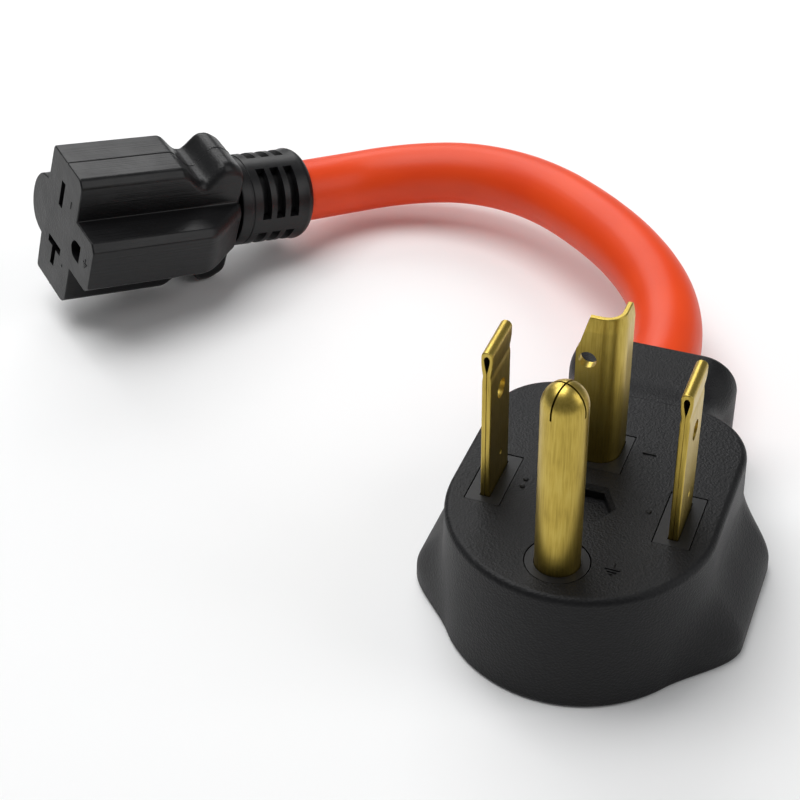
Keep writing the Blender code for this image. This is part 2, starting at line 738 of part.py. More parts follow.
def contact(frame, name, inside, barrel_at):
    """A sprung sheet-metal socket: a walled box open at the front, with a crimp barrel behind."""
    (x0, y0), (x1, y1) = contact_boxes(0.0)[inside]
    front = FACE_PLATE + 2 * GAP
    back = front + CONTACT_DEPTH
    piece = prism(name, rectangle(x0, x1, y0, y1), front, back, BRASS, frame)
    hollow = rectangle(x0 + CONTACT_SHEET, x1 - CONTACT_SHEET, y0 + CONTACT_SHEET, y1 - CONTACT_SHEET)
    cut(piece, prism(f"{name}_mouth_cutter", hollow, front - OVER, back - CONTACT_SHEET, None, frame))
    bx, by = barrel_at
    outer = COPPER_RADIUS + GAP + BARREL_WALL
    start, end = CONTACT_BARREL_START, CONTACT_BARREL_START + BARREL_LENGTH
    cx, cy = (x0 + x1) / 2, (y0 + y1) / 2
    strap = [
        rectangle(cx - 1.4, cx + 1.4, cy - 0.9, cy + 0.9),
        rectangle(cx - 1.4, cx + 1.4, cy - 0.9, cy + 0.9),
        rectangle(bx - 1.4, bx + 1.4, by - 0.9, by + 0.9),
        rectangle(bx - 1.4, bx + 1.4, by - 0.9, by + 0.9),
    ]
    levels = (back - 0.4, back + 0.6, start - 0.4, start + 0.6)
    rings = [[(x, y, z) for x, y in ring] for ring, z in zip(strap, levels)]
    join(piece, loft(f"{name}_strap_shape", rings, None, frame))
    middle = (bx, by, (start + end) / 2)
    join(piece, cylinder(f"{name}_barrel_shape", middle, outer, end - start, 14, None, frame))
    length = end - start
    middle = (bx, by, start + 1.0 + length / 2)
    cut(piece, cylinder(f"{name}_bore_cutter", middle, COPPER_RADIUS + GAP, length, 12, None, frame))
    return piece


BARREL_PLACES = {"straight": (0.0, -7.5), "tee": (0.0, 8.0), "ground": (10.2, 0.0)}


def make_strain_relief(frame):
    start = BODY_LENGTH + GAP
    cx, cy = RELIEF_OFFSET
    bore = CABLE_RADIUS + GAP
    profile = [(RELIEF_RADIUS - inset, RELIEF_END - drop)
               for inset, drop in reversed(quarter_round(RELIEF_ROUND, 5))]
    profile += [(RELIEF_RADIUS, start + 3.8), (RELIEF_RADIUS - RELIEF_GROOVE, start + 3.5)]
    profile += [(RELIEF_RADIUS, start + 3.2), (RELIEF_RADIUS, start + 0.6)]
    profile += [(RELIEF_RADIUS - 0.6, start), (bore, start), (bore, RELIEF_END)]
    relief = turned("strain_relief", profile, (cx, cy, 0), 40, GLOSS_BLACK, frame)
    floor = RELIEF_RADIUS - WINDOW_DEPTH
    for side in range(4):
        middle = WINDOW_TURN + 90 * side
        a0, a1 = middle - WINDOW_HALF_ANGLE, middle + WINDOW_HALF_ANGLE
        outline = arc((cx, cy), floor, a0, a1, 7) + arc((cx, cy), RELIEF_RADIUS + OVER, a1, a0, 7)
        for row in range(WINDOW_ROWS):
            z0 = WINDOW_START + row * WINDOW_PITCH
            cut(relief, prism(f"window_cutter_{side}{row}", outline, z0, z0 + WINDOW_WIDTH, None, frame))
    return relief


# ---------------------------------------------------------------- cable


def smooth_curve(points, step):
    """Evenly spaced points on a centripetal Catmull-Rom curve through the given ones."""
    knots = [np.array(p, float) for p in points]
    knots = [2 * knots[0] - knots[1]] + knots + [2 * knots[-1] - knots[-2]]
    fine = []
    for p0, p1, p2, p3 in zip(knots, knots[1:], knots[2:], knots[3:]):
        for t in np.linspace(0, 1, 24, endpoint=False):
            fine.append(0.5 * (2 * p1 + (p2 - p0) * t + (2 * p0 - 5 * p1 + 4 * p2 - p3) * t**2
                               + (3 * p1 - p0 - 3 * p2 + p3) * t**3))
    fine = np.array(fine + [knots[-2]])
    run = np.concatenate([[0], np.cumsum(np.linalg.norm(np.diff(fine, axis=0), axis=1))])
    count = max(2, int(round(run[-1] / step)) + 1)
    even = np.linspace(0, run[-1], count)
    return np.stack([np.interp(even, run, fine[:, i]) for i in range(3)], axis=1)


def cable_centres():
    """Jacket centreline from inside the plug's boot to inside the connector's rear wall."""
    matrix = connector_matrix()
    first = CABLE_ROUTE[0]
    entry = [(0.0, JACKET_ENTRY_Y, first[2]), (0.0, (JACKET_ENTRY_Y + first[1]) / 2, first[2])]
    inside = [RELIEF_END, 62.0, 53.0, BODY_LENGTH - 4.0]
    tail = [tuple(matrix @ Vector((*RELIEF_OFFSET, depth))) for depth in inside]
    return smooth_curve(entry + list(CABLE_ROUTE) + tail, RING_STEP)


def frames_along(centres):
    """A side and an up direction at each centre that never twist about the route."""
    tangents = np.gradient(centres, axis=0)
    tangents /= np.linalg.norm(tangents, axis=1)[:, None]
    side = np.cross(tangents[0], (0, 0, 1.0))
    sides = []
    for tangent in tangents:
        side = side - tangent * (side @ tangent)
        side /= np.linalg.norm(side)
        sides.append(side)
    sides = np.array(sides)
    return sides, np.cross(sides, tangents)


def strand_points(centres, offset, ahead):
    """A strand of the lay, ahead of the green one by an angle.

    The green strand leaves the plug at the bottom of the bundle, winds round the centreline
    and meets the connector on the side of the earth slot.
    """
    sides, ups = frames_along(centres)
    run = np.concatenate([[0], np.cumsum(np.linalg.norm(np.diff(centres, axis=0), axis=1))])
    earth = np.array(connector_matrix().col[0][:3])
    start = -math.pi / 2
    total = (math.atan2(earth @ ups[-1], earth @ sides[-1]) - start) % (2 * math.pi)
    angle = start + ahead + (total + 2 * math.pi * EXTRA_TURNS) * run / run[-1]
    return centres + offset * (np.cos(angle)[:, None] * sides + np.sin(angle)[:, None] * ups)


def tube(name, points, radius, resolution, look=None):
    """A round bar along a path, as a curve with a round bevel and filled ends."""
    curve = bpy.data.curves.new(name, "CURVE")
    curve.dimensions = "3D"
    curve.bevel_depth = radius * MM
    curve.bevel_resolution = resolution
    curve.use_fill_caps = True
    spline = curve.splines.new("POLY")
    spline.points.add(len(points) - 1)
    for point, (x, y, z) in zip(spline.points, points):
        point.co = (x * MM, y * MM, z * MM, 1.0)
    spline.use_smooth = True
    return place(bpy.data.objects.new(name, curve), look)


def stretched(points, by):
    """The path made longer at both ends, for a cutter."""
    points = np.array(points, float)
    first, last = points[0] - points[1], points[-1] - points[-2]
    start = points[0] + by * first / np.linalg.norm(first)
    end = points[-1] + by * last / np.linalg.norm(last)
    return np.vstack([start, points, end])


def hollow_tube(name, points, outer, inner, resolution, look):
    shell = as_mesh(tube(name, points, outer, resolution), look)
    core = as_mesh(tube(f"{name}_bore_cutter", stretched(points, OVER), inner, resolution), None)
    return cut(shell, core)


PLUG_CRIMPS = {
    "black": (BLADE_SPACING / 2, 0.0),
    "white": (-BLADE_SPACING / 2, 0.0),
    "green": (0.0, PIN_Y),
}
CONNECTOR_CRIMPS = {"white": "straight", "black": "tee", "green": "ground"}
LAY_ANGLES = {"green": 0.0, "black": 2 * math.pi / 3, "white": 4 * math.pi / 3}
LOOKS = {"black": BLACK_WIRE, "white": WHITE_WIRE, "green": GREEN_WIRE}


def splay(colour):
    """Where a conductor runs inside the plug, from its crimp to the cable's end."""
    x, y = PLUG_CRIMPS[colour]
    z = BARREL_Z
    start = y + BARREL_LENGTH / 2 + 2 * GAP
    if colour == "green":
        return [(x, start, z), (x, 5.0, z), (x, 20.0, z + 0.2), (x, 30.0, z + 2.2)]
    return [(x, start, z), (x, start + 5.0, z), (x * 0.87, 16.5, z + 0.6),
            (x * 0.58, 24.5, z + 3.4), (x * 0.28, 32.5, z + 7.7)]


def conductor_path(centres, colour):
    """Crimp in the plug, out to the cable's lay, along the cable and in to the connector's crimp."""
    lay = strand_points(centres, STRAND_OFFSET, LAY_ANGLES[colour])
    matrix = connector_matrix()
    barrel = BARREL_PLACES[CONNECTOR_CRIMPS[colour]]
    crimp = CONTACT_BARREL_START + BARREL_LENGTH
    tail = [tuple(matrix @ Vector((*barrel, crimp + d))) for d in (4.5, 2.5, 2 * GAP)]
    head = smooth_curve(splay(colour) + [tuple(lay[0])], SPLAY_STEP)
    tail = smooth_curve([tuple(lay[-2]), tuple(lay[-1])] + tail, SPLAY_STEP / 2)
    tail = tail[np.linalg.norm(tail - lay[-2], axis=1) > RING_STEP]
    return np.vstack([head[:-1], lay, tail])


def make_cable():
    centres = cable_centres()
    hollow_tube("cable_jacket", centres, CABLE_RADIUS, CABLE_RADIUS - JACKET_WALL, 4, ORANGE)
    matrix = connector_matrix()
    for colour, look in LOOKS.items():
        path = conductor_path(centres, colour)
        hollow_tube(f"{colour}_insulation", path, INSULATION_RADIUS, COPPER_RADIUS + GAP / 2, 2, look)
        x, y = PLUG_CRIMPS[colour]
        inner_end = np.array([x, y - BARREL_LENGTH / 2 + OVER, BARREL_Z])
        barrel = BARREL_PLACES[CONNECTOR_CRIMPS[colour]]
        outer_end = np.array(matrix @ Vector((*barrel, CONTACT_BARREL_START + OVER + 2 * GAP)))
        tube(f"{colour}_copper", np.vstack([inner_end, path, outer_end]), COPPER_RADIUS, 2, COPPER)
    for number, ahead in enumerate(LAY_ANGLES.values(), 1):
        path = strand_points(centres, FILLER_OFFSET, ahead + math.pi / 3)
        tube(f"cable_filler_{number}", path, FILLER_RADIUS, 2, PAPER)


def main():
    clear_scene()
    Shop.parts = new_collection("power_adapter_dogbone")
    Shop.cutters = new_collection("cutters")
    Shop.cutters.hide_render = True
    make_plug_housing()
    make_bridge()
    hot_blade("blade_x", 1)
    hot_blade("blade_y", -1)
    make_neutral_blade()
    make_ground_pin()
    frame = connector_frame()
    make_connector_housing(frame)
    make_carrier(frame)
    for inside, barrel in BARREL_PLACES.items():
        contact(frame, f"{inside}_slot_contact", inside, barrel)
    make_strain_relief(frame)
    make_cable()


if __name__ == "__main__":
    main()
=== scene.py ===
"""Dogbone power adapter: fine surfaces and finishes for a right-angle plug, its cable and connector.

Sizes are in millimetres in the functions and turned to metres where a mesh is made.
The plug lies on its back at the origin with its blades along +Z and its cable leaving along +Y.
"""

import math

import bmesh
import bpy
import numpy as np
from bpy.props import FloatProperty, FloatVectorProperty, PointerProperty, StringProperty
from mathutils import Matrix, Vector


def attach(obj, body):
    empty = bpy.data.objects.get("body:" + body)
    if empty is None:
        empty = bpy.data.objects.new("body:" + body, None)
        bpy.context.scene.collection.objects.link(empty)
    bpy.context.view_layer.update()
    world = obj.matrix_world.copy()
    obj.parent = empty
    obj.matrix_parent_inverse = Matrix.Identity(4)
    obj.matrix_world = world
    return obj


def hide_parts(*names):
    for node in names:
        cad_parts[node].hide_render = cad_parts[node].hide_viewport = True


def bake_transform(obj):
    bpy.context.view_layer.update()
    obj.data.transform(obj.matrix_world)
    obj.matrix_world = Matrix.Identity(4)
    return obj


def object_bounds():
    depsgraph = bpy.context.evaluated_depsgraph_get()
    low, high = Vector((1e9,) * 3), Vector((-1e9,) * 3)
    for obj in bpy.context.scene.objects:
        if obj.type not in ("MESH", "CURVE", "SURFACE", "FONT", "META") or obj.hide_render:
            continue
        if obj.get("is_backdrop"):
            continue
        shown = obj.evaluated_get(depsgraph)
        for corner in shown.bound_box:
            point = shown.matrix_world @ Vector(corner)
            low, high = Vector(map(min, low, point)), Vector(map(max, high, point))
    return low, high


bl_info = {
    "name": "Dogbone power adapter",
    "version": (1, 0, 0),
    "blender": (4, 5, 0),
    "location": "3D View > Sidebar > Adapter",
    "description": "Models a right-angle plug, its short cable and its in-line connector",
    "category": "Add Mesh",
}

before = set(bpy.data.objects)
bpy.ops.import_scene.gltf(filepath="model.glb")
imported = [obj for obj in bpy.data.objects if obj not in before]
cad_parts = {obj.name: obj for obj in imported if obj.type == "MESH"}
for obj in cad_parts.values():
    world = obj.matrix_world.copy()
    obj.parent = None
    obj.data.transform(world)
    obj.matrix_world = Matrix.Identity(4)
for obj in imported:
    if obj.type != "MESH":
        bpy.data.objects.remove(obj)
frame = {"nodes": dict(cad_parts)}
CAD_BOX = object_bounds()
MM = 0.001

# Plug housing
PLUG_HEIGHT = 29.0
FACE_HALF_WIDTH = 28.3
FRONT_ARC_Y = -2.2
FACE_REAR_Y = 37.5
REAR_CORNER = 15.0
SIDE_TAPER = 0.7
BASE_ROUND = 1.0
PLUG_WALL = 4.0
PLUG_FLOOR = 3.5
FACE_WALL = 3.4
WING_REACH = 7.0
WING_TOP = 18.5
WING_FULL = 3.5
WING_FRONT = (-19.0, -3.0)
WING_REAR = (22.0, 37.0)
BOOT_END_Y = 59.2
BOOT_HALF_WIDTH = 19.5
BOOT_WAIST = 1.6
BOOT_FLARE = 1.6
BOOT_TOP = 27.9
BOOT_SADDLE = 1.5
BOOT_BOTTOM = 0.5
BOOT_CORNER = 8.0
BOOT_FOOT_CORNER = 4.5
HEX_CENTRE = (0.0, -1.1)
HEX_RADIUS = 5.8
HEX_CHAMFER = 1.0
HEX_DEPTH = 2.9
GAP = 0.3

# Blades
BLADE_SPACING = 39.6
BLADE_WIDTH = 12.1
BLADE_THICKNESS = 2.0
BLADE_TIP = 65.2
BLADE_FOOT = 14.6
BLADE_HOLE = (0.4, 52.4, 2.2)
FOLD_BULGE = 0.22
DIMPLE = (1.0, 35.6, 1.3)
TIP_TAPER = (3.4, 0.42)
NEUTRAL_CORNER = (2.7, 11.9)
NEUTRAL_LEGS = (9.6, 8.9)
NEUTRAL_BEND = 4.6
NEUTRAL_TIP_CUT = (2.3, 8.0)
NEUTRAL_HOLE = (-4.4, 55.0, 1.9)
NEUTRAL_BOSS = (13.0, 12.8)
HOT_BOSS = (7.4, 16.0)
PIN_BOSS_RADIUS = 6.5
PIN_Y = -19.8
PIN_RADIUS = 4.6
PIN_TIP = 72.8
PIN_DOME = 5.0
PIN_WALL = 1.2
PIN_BORE_FOOT = 17.8
PIN_SLIT = (0.4, 6.0)
PIN_SLIT_TURN = 72.0
BARREL_Z = 8.6
BARREL_LENGTH = 7.5
BARREL_RADIUS = 2.45
BARREL_BORE = 1.65

# Connector: a frame of its own, its Z running back from the face along the cable
CONNECTOR_FACE = (-157.1, 57.5, 28.37)
CONNECTOR_HEADING = 53.9
CONNECTOR_PITCH = 12.0
CONNECTOR_ROLL = 9.4
BODY_BAR = (-8.4, 9.8)
BODY_HALF_HEIGHT = 19.0
BODY_FRONT = 28.0
BODY_WAIST = (35.0, 14.2)
BODY_GRIP = (40.8, 19.0)
GRIP_FALL = 3.0
LOBE_TAPER = (33.0, 50.0)
BODY_LENGTH = 47.0
SIDE_LOBE = (20.8, 7.4)
SIDE_LOBE_REAR = 11.5
ROUND_LOBE = (16.0, 8.4)
ROUND_LOBE_REAR = 10.5
BODY_WALL = 2.6
FACE_PLATE = 2.2
SLOT_MARK_HEIGHT = 0.14
SLOT_CENTRE = 9.15
SLOT_LENGTH = 7.3
SLOT_WIDTH = 2.1
TEE_BAR = (5.55, 7.65)
GROUND_SLOT = (8.9, 13.9, 2.55)
CONTACT_BARREL_START = 24.4
CONTACT_BARRELS = {"white": (0.0, -7.5), "black": (0.0, 8.0), "green": (10.2, 0.0)}
RELIEF_RADIUS = 12.2
RELIEF_END = 70.0
RELIEF_ROUND = 2.6
RELIEF_OFFSET = (0.3, -0.9)
WINDOW_ROWS = 3
WINDOW_START = 53.4
WINDOW_PITCH = 4.25
WINDOW_WIDTH = 2.6
WINDOW_DEPTH = 2.3
WINDOW_HALF_ANGLE = 34.0
WINDOW_TURN = -41.0

# Cable
CABLE_RADIUS = 8.4
JACKET_ENTRY_Y = 39.0
JACKET_WALL = 2.0
INSULATION_RADIUS = 2.5
COPPER_RADIUS = 1.35
STRAND_OFFSET = 3.15
FILLER_RADIUS = 1.0
FILLER_OFFSET = 4.75
EXTRA_TURNS = 1
CABLE_ROUTE = (
    (0.0, 59.5, 16.5),
    (-0.4, 70.0, 16.8),
    (-2.6, 81.0, 17.4),
    (-6.8, 91.0, 18.2),
    (-12.8, 100.0, 18.7),
    (-20.2, 108.4, 18.9),
    (-28.0, 115.6, 18.8),
    (-36.6, 122.6, 18.3),
    (-45.4, 128.7, 17.7),
    (-55.2, 133.8, 16.8),
    (-65.7, 137.1, 15.7),
    (-76.4, 138.0, 14.6),
    (-87.3, 136.3, 13.3),
    (-97.2, 132.4, 12.3),
    (-105.9, 125.9, 12.2),
)
FINE_STEP = 1.5
COARSE_STEP = 2.0
LAY_ANGLES = {"green": 0.0, "black": 2 * math.pi / 3, "white": 4 * math.pi / 3}
PLUG_CRIMPS = {
    "black": (BLADE_SPACING / 2, 0.0),
    "white": (-BLADE_SPACING / 2, 0.0),
    "green": (0.0, PIN_Y),
}

# Camera: its turn about the upright, its drop below the level and its roll, in degrees
CAMERA_HEADING = 21.92
CAMERA_DROP = 37.73
CAMERA_ROLL = -1.26


# ---------------------------------------------------------------- settings


class PlugSettings(bpy.types.PropertyGroup):
    rim_round: FloatProperty(
        name="Rim round", description="Radius where the face meets the sides, in mm",
        default=1.5, min=0.5, max=1.9)
    grain: FloatProperty(
        name="Grain", description="Width of one pebble of the moulded grain, in mm",
        default=0.55, min=0.2, max=2.0)
    colour: StringProperty(
        name="Colour", description="Charcoal vinyl of the plug, sRGB hex", default="#0F0F11")
    mark_height: FloatProperty(
        name="Mark height", description="How far the terminal marks stand up, in mm",
        default=0.3, min=0.05, max=0.4)


class BladeSettings(bpy.types.PropertyGroup):
    edge_round: FloatProperty(
        name="Edge round", description="Radius of the stamped edges, in mm",
        default=0.28, min=0.05, max=0.6)
    seam: FloatProperty(
        name="Fold seam", description="Width of the line between a blade's two leaves, in mm",
        default=0.16, min=0.05, max=0.4)
    colour: StringProperty(
        name="Brass", description="Polished brass, sRGB hex", default="#B8A04C")
    tarnish: StringProperty(
        name="Tarnish", description="Handled, duller brass, sRGB hex", default="#98823C")


class CableSettings(bpy.types.PropertyGroup):
    diameter: FloatProperty(
        name="Diameter", description="Outer diameter of the jacket, in mm",
        default=2 * CABLE_RADIUS, min=12.0, max=20.0)
    colour: StringProperty(
        name="Jacket", description="Orange vinyl of the jacket, sRGB hex", default="#E8470F")
    black: StringProperty(name="Black wire", description="sRGB hex", default="#1B1B1D")
    white: StringProperty(name="White wire", description="sRGB hex", default="#E6E4DD")
    green: StringProperty(name="Green wire", description="sRGB hex", default="#1E7A3C")


class ConnectorSettings(bpy.types.PropertyGroup):
    colour: StringProperty(
        name="Colour", description="Black vinyl of the connector, sRGB hex", default="#0F0F11")
    parting_line: FloatProperty(
        name="Parting line", description="Height of the mould's parting line, in mm",
        default=0.16, min=0.0, max=0.4)
    window_round: FloatProperty(
        name="Window round", description="Radius of the strain relief's rib edges, in mm",
        default=0.35, min=0.0, max=0.8)


class StageSettings(bpy.types.PropertyGroup):
    floor: StringProperty(name="Floor", description="sRGB hex", default="#F6F6F6")
    lens: FloatProperty(
        name="Lens", description="Focal length on a 36 mm sensor, in mm", default=78.9,
        unit="CAMERA")
    camera: FloatVectorProperty(
        name="Camera", description="Place of the camera, in metres", subtype="XYZ",
        default=(0.0665, -0.2661, 0.2658))


# ---------------------------------------------------------------- meshes


def smooth_step(x, start, end):
    """Rises from 0 to 1 between start and end as 3 t squared less 2 t cubed."""
    t = np.clip((np.asarray(x, float) - start) / (end - start), 0, 1)
    return t * t * (3 - 2 * t)


def quarter_round(radius, steps):
    """Inset and drop from the wall to the flat of a rounded edge: a quarter circle."""
    a = np.linspace(0, math.pi / 2, steps + 1)
    return np.stack([radius * (1 - np.cos(a)), radius * (1 - np.sin(a))], axis=1)


def grid_faces(rows, columns, wrap_rows=False):
    """Quads of a grid whose columns close into a ring."""
    index = np.arange(rows * columns).reshape(rows, columns)
    if wrap_rows:
        index = np.vstack([index, index[:1]])
    right = np.roll(index, -1, axis=1)
    quads = np.stack([index[:-1], right[:-1], right[1:], index[1:]], axis=-1)
    return quads.reshape(-1, 4)


def ring_mesh(name, rings, wrap_rows=False, matrix=None):
    """A closed skin through rings of points, flat caps at both ends unless the rows wrap round."""
    rings = np.asarray(rings, float)
    rows, columns, _ = rings.shape
    points = rings.reshape(-1, 3)
    if matrix is not None:
        turned = np.array(matrix)
        points = points @ turned[:3, :3].T + turned[:3, 3]
    faces = [list(f) for f in grid_faces(rows, columns, wrap_rows)]
    if not wrap_rows:
        faces.append(list(range(columns)))
        faces.append(list(range((rows - 1) * columns, rows * columns)))
    mesh = bpy.data.meshes.new(name)
    mesh.from_pydata((points * MM).tolist(), [], faces)
    return outward(bpy.data.objects.new(name, mesh))


def outward(obj):
    """Merges doubles and turns the faces of a closed mesh outwards."""
    bpy.context.scene.collection.objects.link(obj)
    work = bmesh.new()
    work.from_mesh(obj.data)
    bmesh.ops.remove_doubles(work, verts=work.verts, dist=1e-7)
    bmesh.ops.recalc_face_normals(work, faces=work.faces)
    work.to_mesh(obj.data)
    work.free()
    return obj


def prism(name, outline, low, high, axis="Z", matrix=None):
    """An outline pushed along an axis: (x, y) along Z, (x, z) along Y or (y, z) along X."""
    u, v = np.asarray(outline, float).T
    order = {"Z": lambda h: (u, v, h), "Y": lambda h: (u, h, v), "X": lambda h: (h, u, v)}[axis]
    rings = [np.stack(order(np.full(len(u), h)), axis=1) for h in (low, high)]
    return ring_mesh(name, rings, matrix=matrix)


def lathe(name, profile, centre, sides, wrap=False, matrix=None):
    """A profile of (radius, height) turned about Z."""
    a = np.linspace(0, 2 * math.pi, sides, endpoint=False)
    radius, height = np.asarray(profile, float).T
    x = centre[0] + radius[:, None] * np.cos(a)
    y = centre[1] + radius[:, None] * np.sin(a)
    z = np.repeat(height[:, None], sides, axis=1)
    return ring_mesh(name, np.stack([x, y, z], axis=-1), wrap, matrix)


def arc(centre, radius, start, end, steps):
    """Points at the radius's cos and sin about a centre, between two angles in degrees."""
    a = np.radians(np.linspace(start, end, steps))
    return np.stack([centre[0] + radius * np.cos(a), centre[1] + radius * np.sin(a)], axis=1)


def circle(centre, radius, sides):
    return arc(centre, radius, 0, 360, sides + 1)[:-1]


def rectangle(x0, x1, y0, y1):
    return np.array([(x0, y0), (x1, y0), (x1, y1), (x0, y1)], float)


def centred(cx, cy, width, depth, grow):
    x, y = width / 2 + grow, depth / 2 + grow
    return rectangle(cx - x, cx + x, cy - y, cy + y)


def inset_outline(outline, inset):
    """An outline moved in along its own normals, each the mean of its two edges' normals."""
    ahead = np.roll(outline, -1, axis=0) - outline
    ahead /= np.linalg.norm(ahead, axis=1)[:, None]
    behind = np.roll(ahead, 1, axis=0)
    edge, last = (np.stack([d[:, 1], -d[:, 0]], axis=1) for d in (ahead, behind))
    normal = edge + last
    normal /= np.maximum((normal * edge).sum(axis=1), 0.3)[:, None]
    area = (outline[:, 0] * np.roll(outline[:, 1], -1) - np.roll(outline[:, 0], -1) * outline[:, 1]).sum()
    return outline - math.copysign(inset, area) * normal


def slab(name, outline, low, high, edge, steps=4):
    """An (x, z) outline pushed along Y, drawn in by a quarter circle at both ends."""
    levels = [(low + drop, inset) for inset, drop in quarter_round(edge, steps)[::-1]]
    levels += [(high - drop, inset) for inset, drop in quarter_round(edge, steps)]
    rings = []
    for height, inset in levels:
        u, v = inset_outline(outline, inset).T
        rings.append(np.stack([u, np.full(len(u), height), v], axis=1))
    return ring_mesh(name, rings)


def combine(obj, tools, operation="DIFFERENCE"):
    """Cuts away or joins on each tool in turn, then does away with the tools."""
    for tool in tools:
        step = obj.modifiers.new("step", "BOOLEAN")
        step.operation = operation
        step.solver = "EXACT"
        step.object = tool
    bpy.context.view_layer.update()
    graph = bpy.context.evaluated_depsgraph_get()
    mesh = bpy.data.meshes.new_from_object(obj.evaluated_get(graph))
    obj.modifiers.clear()
    obj.data = mesh
    for tool in tools:
        bpy.data.objects.remove(tool, do_unlink=True)
    return obj


def settle(obj, look, body, nodes=(), sharp=32.0, rounding=0.0):
    """Gives a finished mesh its material and shading and puts it on its body."""
    obj.data.materials.clear()
    obj.data.materials.append(look)
    if rounding:
        bevel = obj.modifiers.new("edge round", "BEVEL")
        bevel.width = rounding * MM
        bevel.segments = 2
        bevel.limit_method = "ANGLE"
        bevel.angle_limit = math.radians(50)
    obj.data.shade_smooth()
    obj.data.set_sharp_from_angle(angle=math.radians(sharp))
    weigh = obj.modifiers.new("flat faces stay flat", "WEIGHTED_NORMAL")
    weigh.keep_sharp = True
    if nodes:
        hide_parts(*nodes)
    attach(obj, body)
    return obj


# ---------------------------------------------------------------- materials


def linear(code):
    """An sRGB hex value as linear red, green, blue and alpha."""
    channels = [int(code[i : i + 2], 16) / 255 for i in (1, 3, 5)]
    return (*(c / 12.92 if c <= 0.04045 else ((c + 0.055) / 1.055) ** 2.4 for c in channels), 1.0)


def add(tree, kind, inputs=None, **settings):
    """Adds a node with its settings; an input is a value or the socket that feeds it."""
    made = tree.nodes.new(kind)
    for key, value in settings.items():
        setattr(made, key, value)
    for key, value in (inputs or {}).items():
        if isinstance(value, bpy.types.NodeSocket):
            tree.links.new(value, made.inputs[key])
        else:
            made.inputs[key].default_value = value
    return made


def new_look(name):
    """A material with an empty tree but for its shader and its object coordinates."""
    look = bpy.data.materials.new(name)
    look.use_nodes = True
    tree = look.node_tree
    shader = tree.nodes["Principled BSDF"]
    where = add(tree, "ShaderNodeTexCoord").outputs["Object"]
    return look, tree, shader, where


def feed(tree, shader, **sockets):
    for key, value in sockets.items():
        tree.links.new(value, shader.inputs[key.replace("_", " ")])


def shades(tree, amount, *stops):
    """A colour ramp over an amount from 0 to 1; each stop is a place and a hex value."""
    ramp = add(tree, "ShaderNodeValToRGB", {"Fac": amount})
    elements = ramp.color_ramp.elements
    while len(elements) < len(stops):
        elements.new(0.5)
    for element, (place, code) in zip(elements, stops):
        element.position = place
        element.color = linear(code)
    return ramp.outputs["Color"]


def grained_vinyl(settings):
    """Flexible vinyl moulded against a spark-eroded steel tool.

    It is dull charcoal with a fine pebble that breaks the highlight into specks.
    """
    look, tree, shader, where = new_look("grained charcoal vinyl")
    pebble = add(tree, "ShaderNodeTexVoronoi", {"Vector": where, "Scale": 1 / (settings.grain * MM)})
    fine = add(tree, "ShaderNodeTexNoise", {"Vector": where, "Scale": 1 / (0.3 * MM), "Detail": 2.0})
    cloud = add(tree, "ShaderNodeTexNoise", {"Vector": where, "Scale": 1 / (14 * MM), "Detail": 3.0})
    speck = add(tree, "ShaderNodeMix", {"Factor": 0.45, "A": pebble.outputs["Distance"],
                                        "B": fine.outputs["Fac"]})
    bump = add(tree, "ShaderNodeBump", {"Strength": 0.85, "Distance": 0.16 * MM,
                                        "Height": speck.outputs["Result"]})
    tint = shades(tree, cloud.outputs["Fac"], (0.3, "#0B0B0D"), (0.7, settings.colour))
    rough = add(tree, "ShaderNodeMapRange", {"Value": cloud.outputs["Fac"], "To Min": 0.44, "To Max": 0.56})
    feed(tree, shader, Base_Color=tint, Normal=bump.outputs["Normal"], Roughness=rough.outputs["Result"])
    shader.inputs["IOR"].default_value = 1.33
    return look


def satin_vinyl(name, colour, dark, line_mm=0.0):
    """Flexible vinyl moulded against a bright tool: a satin skin with slight ripples.

    With a line spacing it also shows the tool's milled lines along the part.
    """
    look, tree, shader, where = new_look(name)
    cloud = add(tree, "ShaderNodeTexNoise", {"Vector": where, "Scale": 1 / (9 * MM), "Detail": 3.0})
    skin = add(tree, "ShaderNodeTexNoise", {"Vector": where, "Scale": 1 / (0.5 * MM), "Detail": 3.0})
    bump = add(tree, "ShaderNodeBump", {"Strength": 0.3, "Distance": 0.035 * MM,
                                        "Height": skin.outputs["Fac"]})
    sink = add(tree, "ShaderNodeBump", {"Strength": 0.4, "Distance": 0.5 * MM,
                                        "Height": cloud.outputs["Fac"],
                                        "Normal": bump.outputs["Normal"]})
    normal = sink.outputs["Normal"]
    if line_mm:
        turn = add(tree, "ShaderNodeMapping", {"Vector": where, "Scale": (1.0, 1.0, 60.0)},
                   vector_type="TEXTURE")
        turn.inputs["Rotation"].default_value = connector_matrix().to_euler()
        lines = add(tree, "ShaderNodeTexNoise", {"Vector": turn.outputs["Vector"],
                                                 "Scale": 1 / (line_mm * MM), "Detail": 3.0})
        patch = add(tree, "ShaderNodeTexNoise", {"Vector": where, "Scale": 1 / (18 * MM)})
        depth = add(tree, "ShaderNodeMapRange", {"Value": patch.outputs["Fac"], "From Min": 0.35,
                                                 "From Max": 0.6, "To Min": 0.15, "To Max": 0.9})
        milled = add(tree, "ShaderNodeBump", {"Strength": depth.outputs["Result"], "Distance": 0.11 * MM,
                                              "Height": lines.outputs["Fac"], "Normal": normal})
        normal = milled.outputs["Normal"]
    tint = shades(tree, cloud.outputs["Fac"], (0.3, dark), (0.72, colour))
    rough = add(tree, "ShaderNodeMapRange", {"Value": cloud.outputs["Fac"], "To Min": 0.3, "To Max": 0.46})
    feed(tree, shader, Base_Color=tint, Normal=normal, Roughness=rough.outputs["Result"])
    shader.inputs["IOR"].default_value = 1.38
    return look


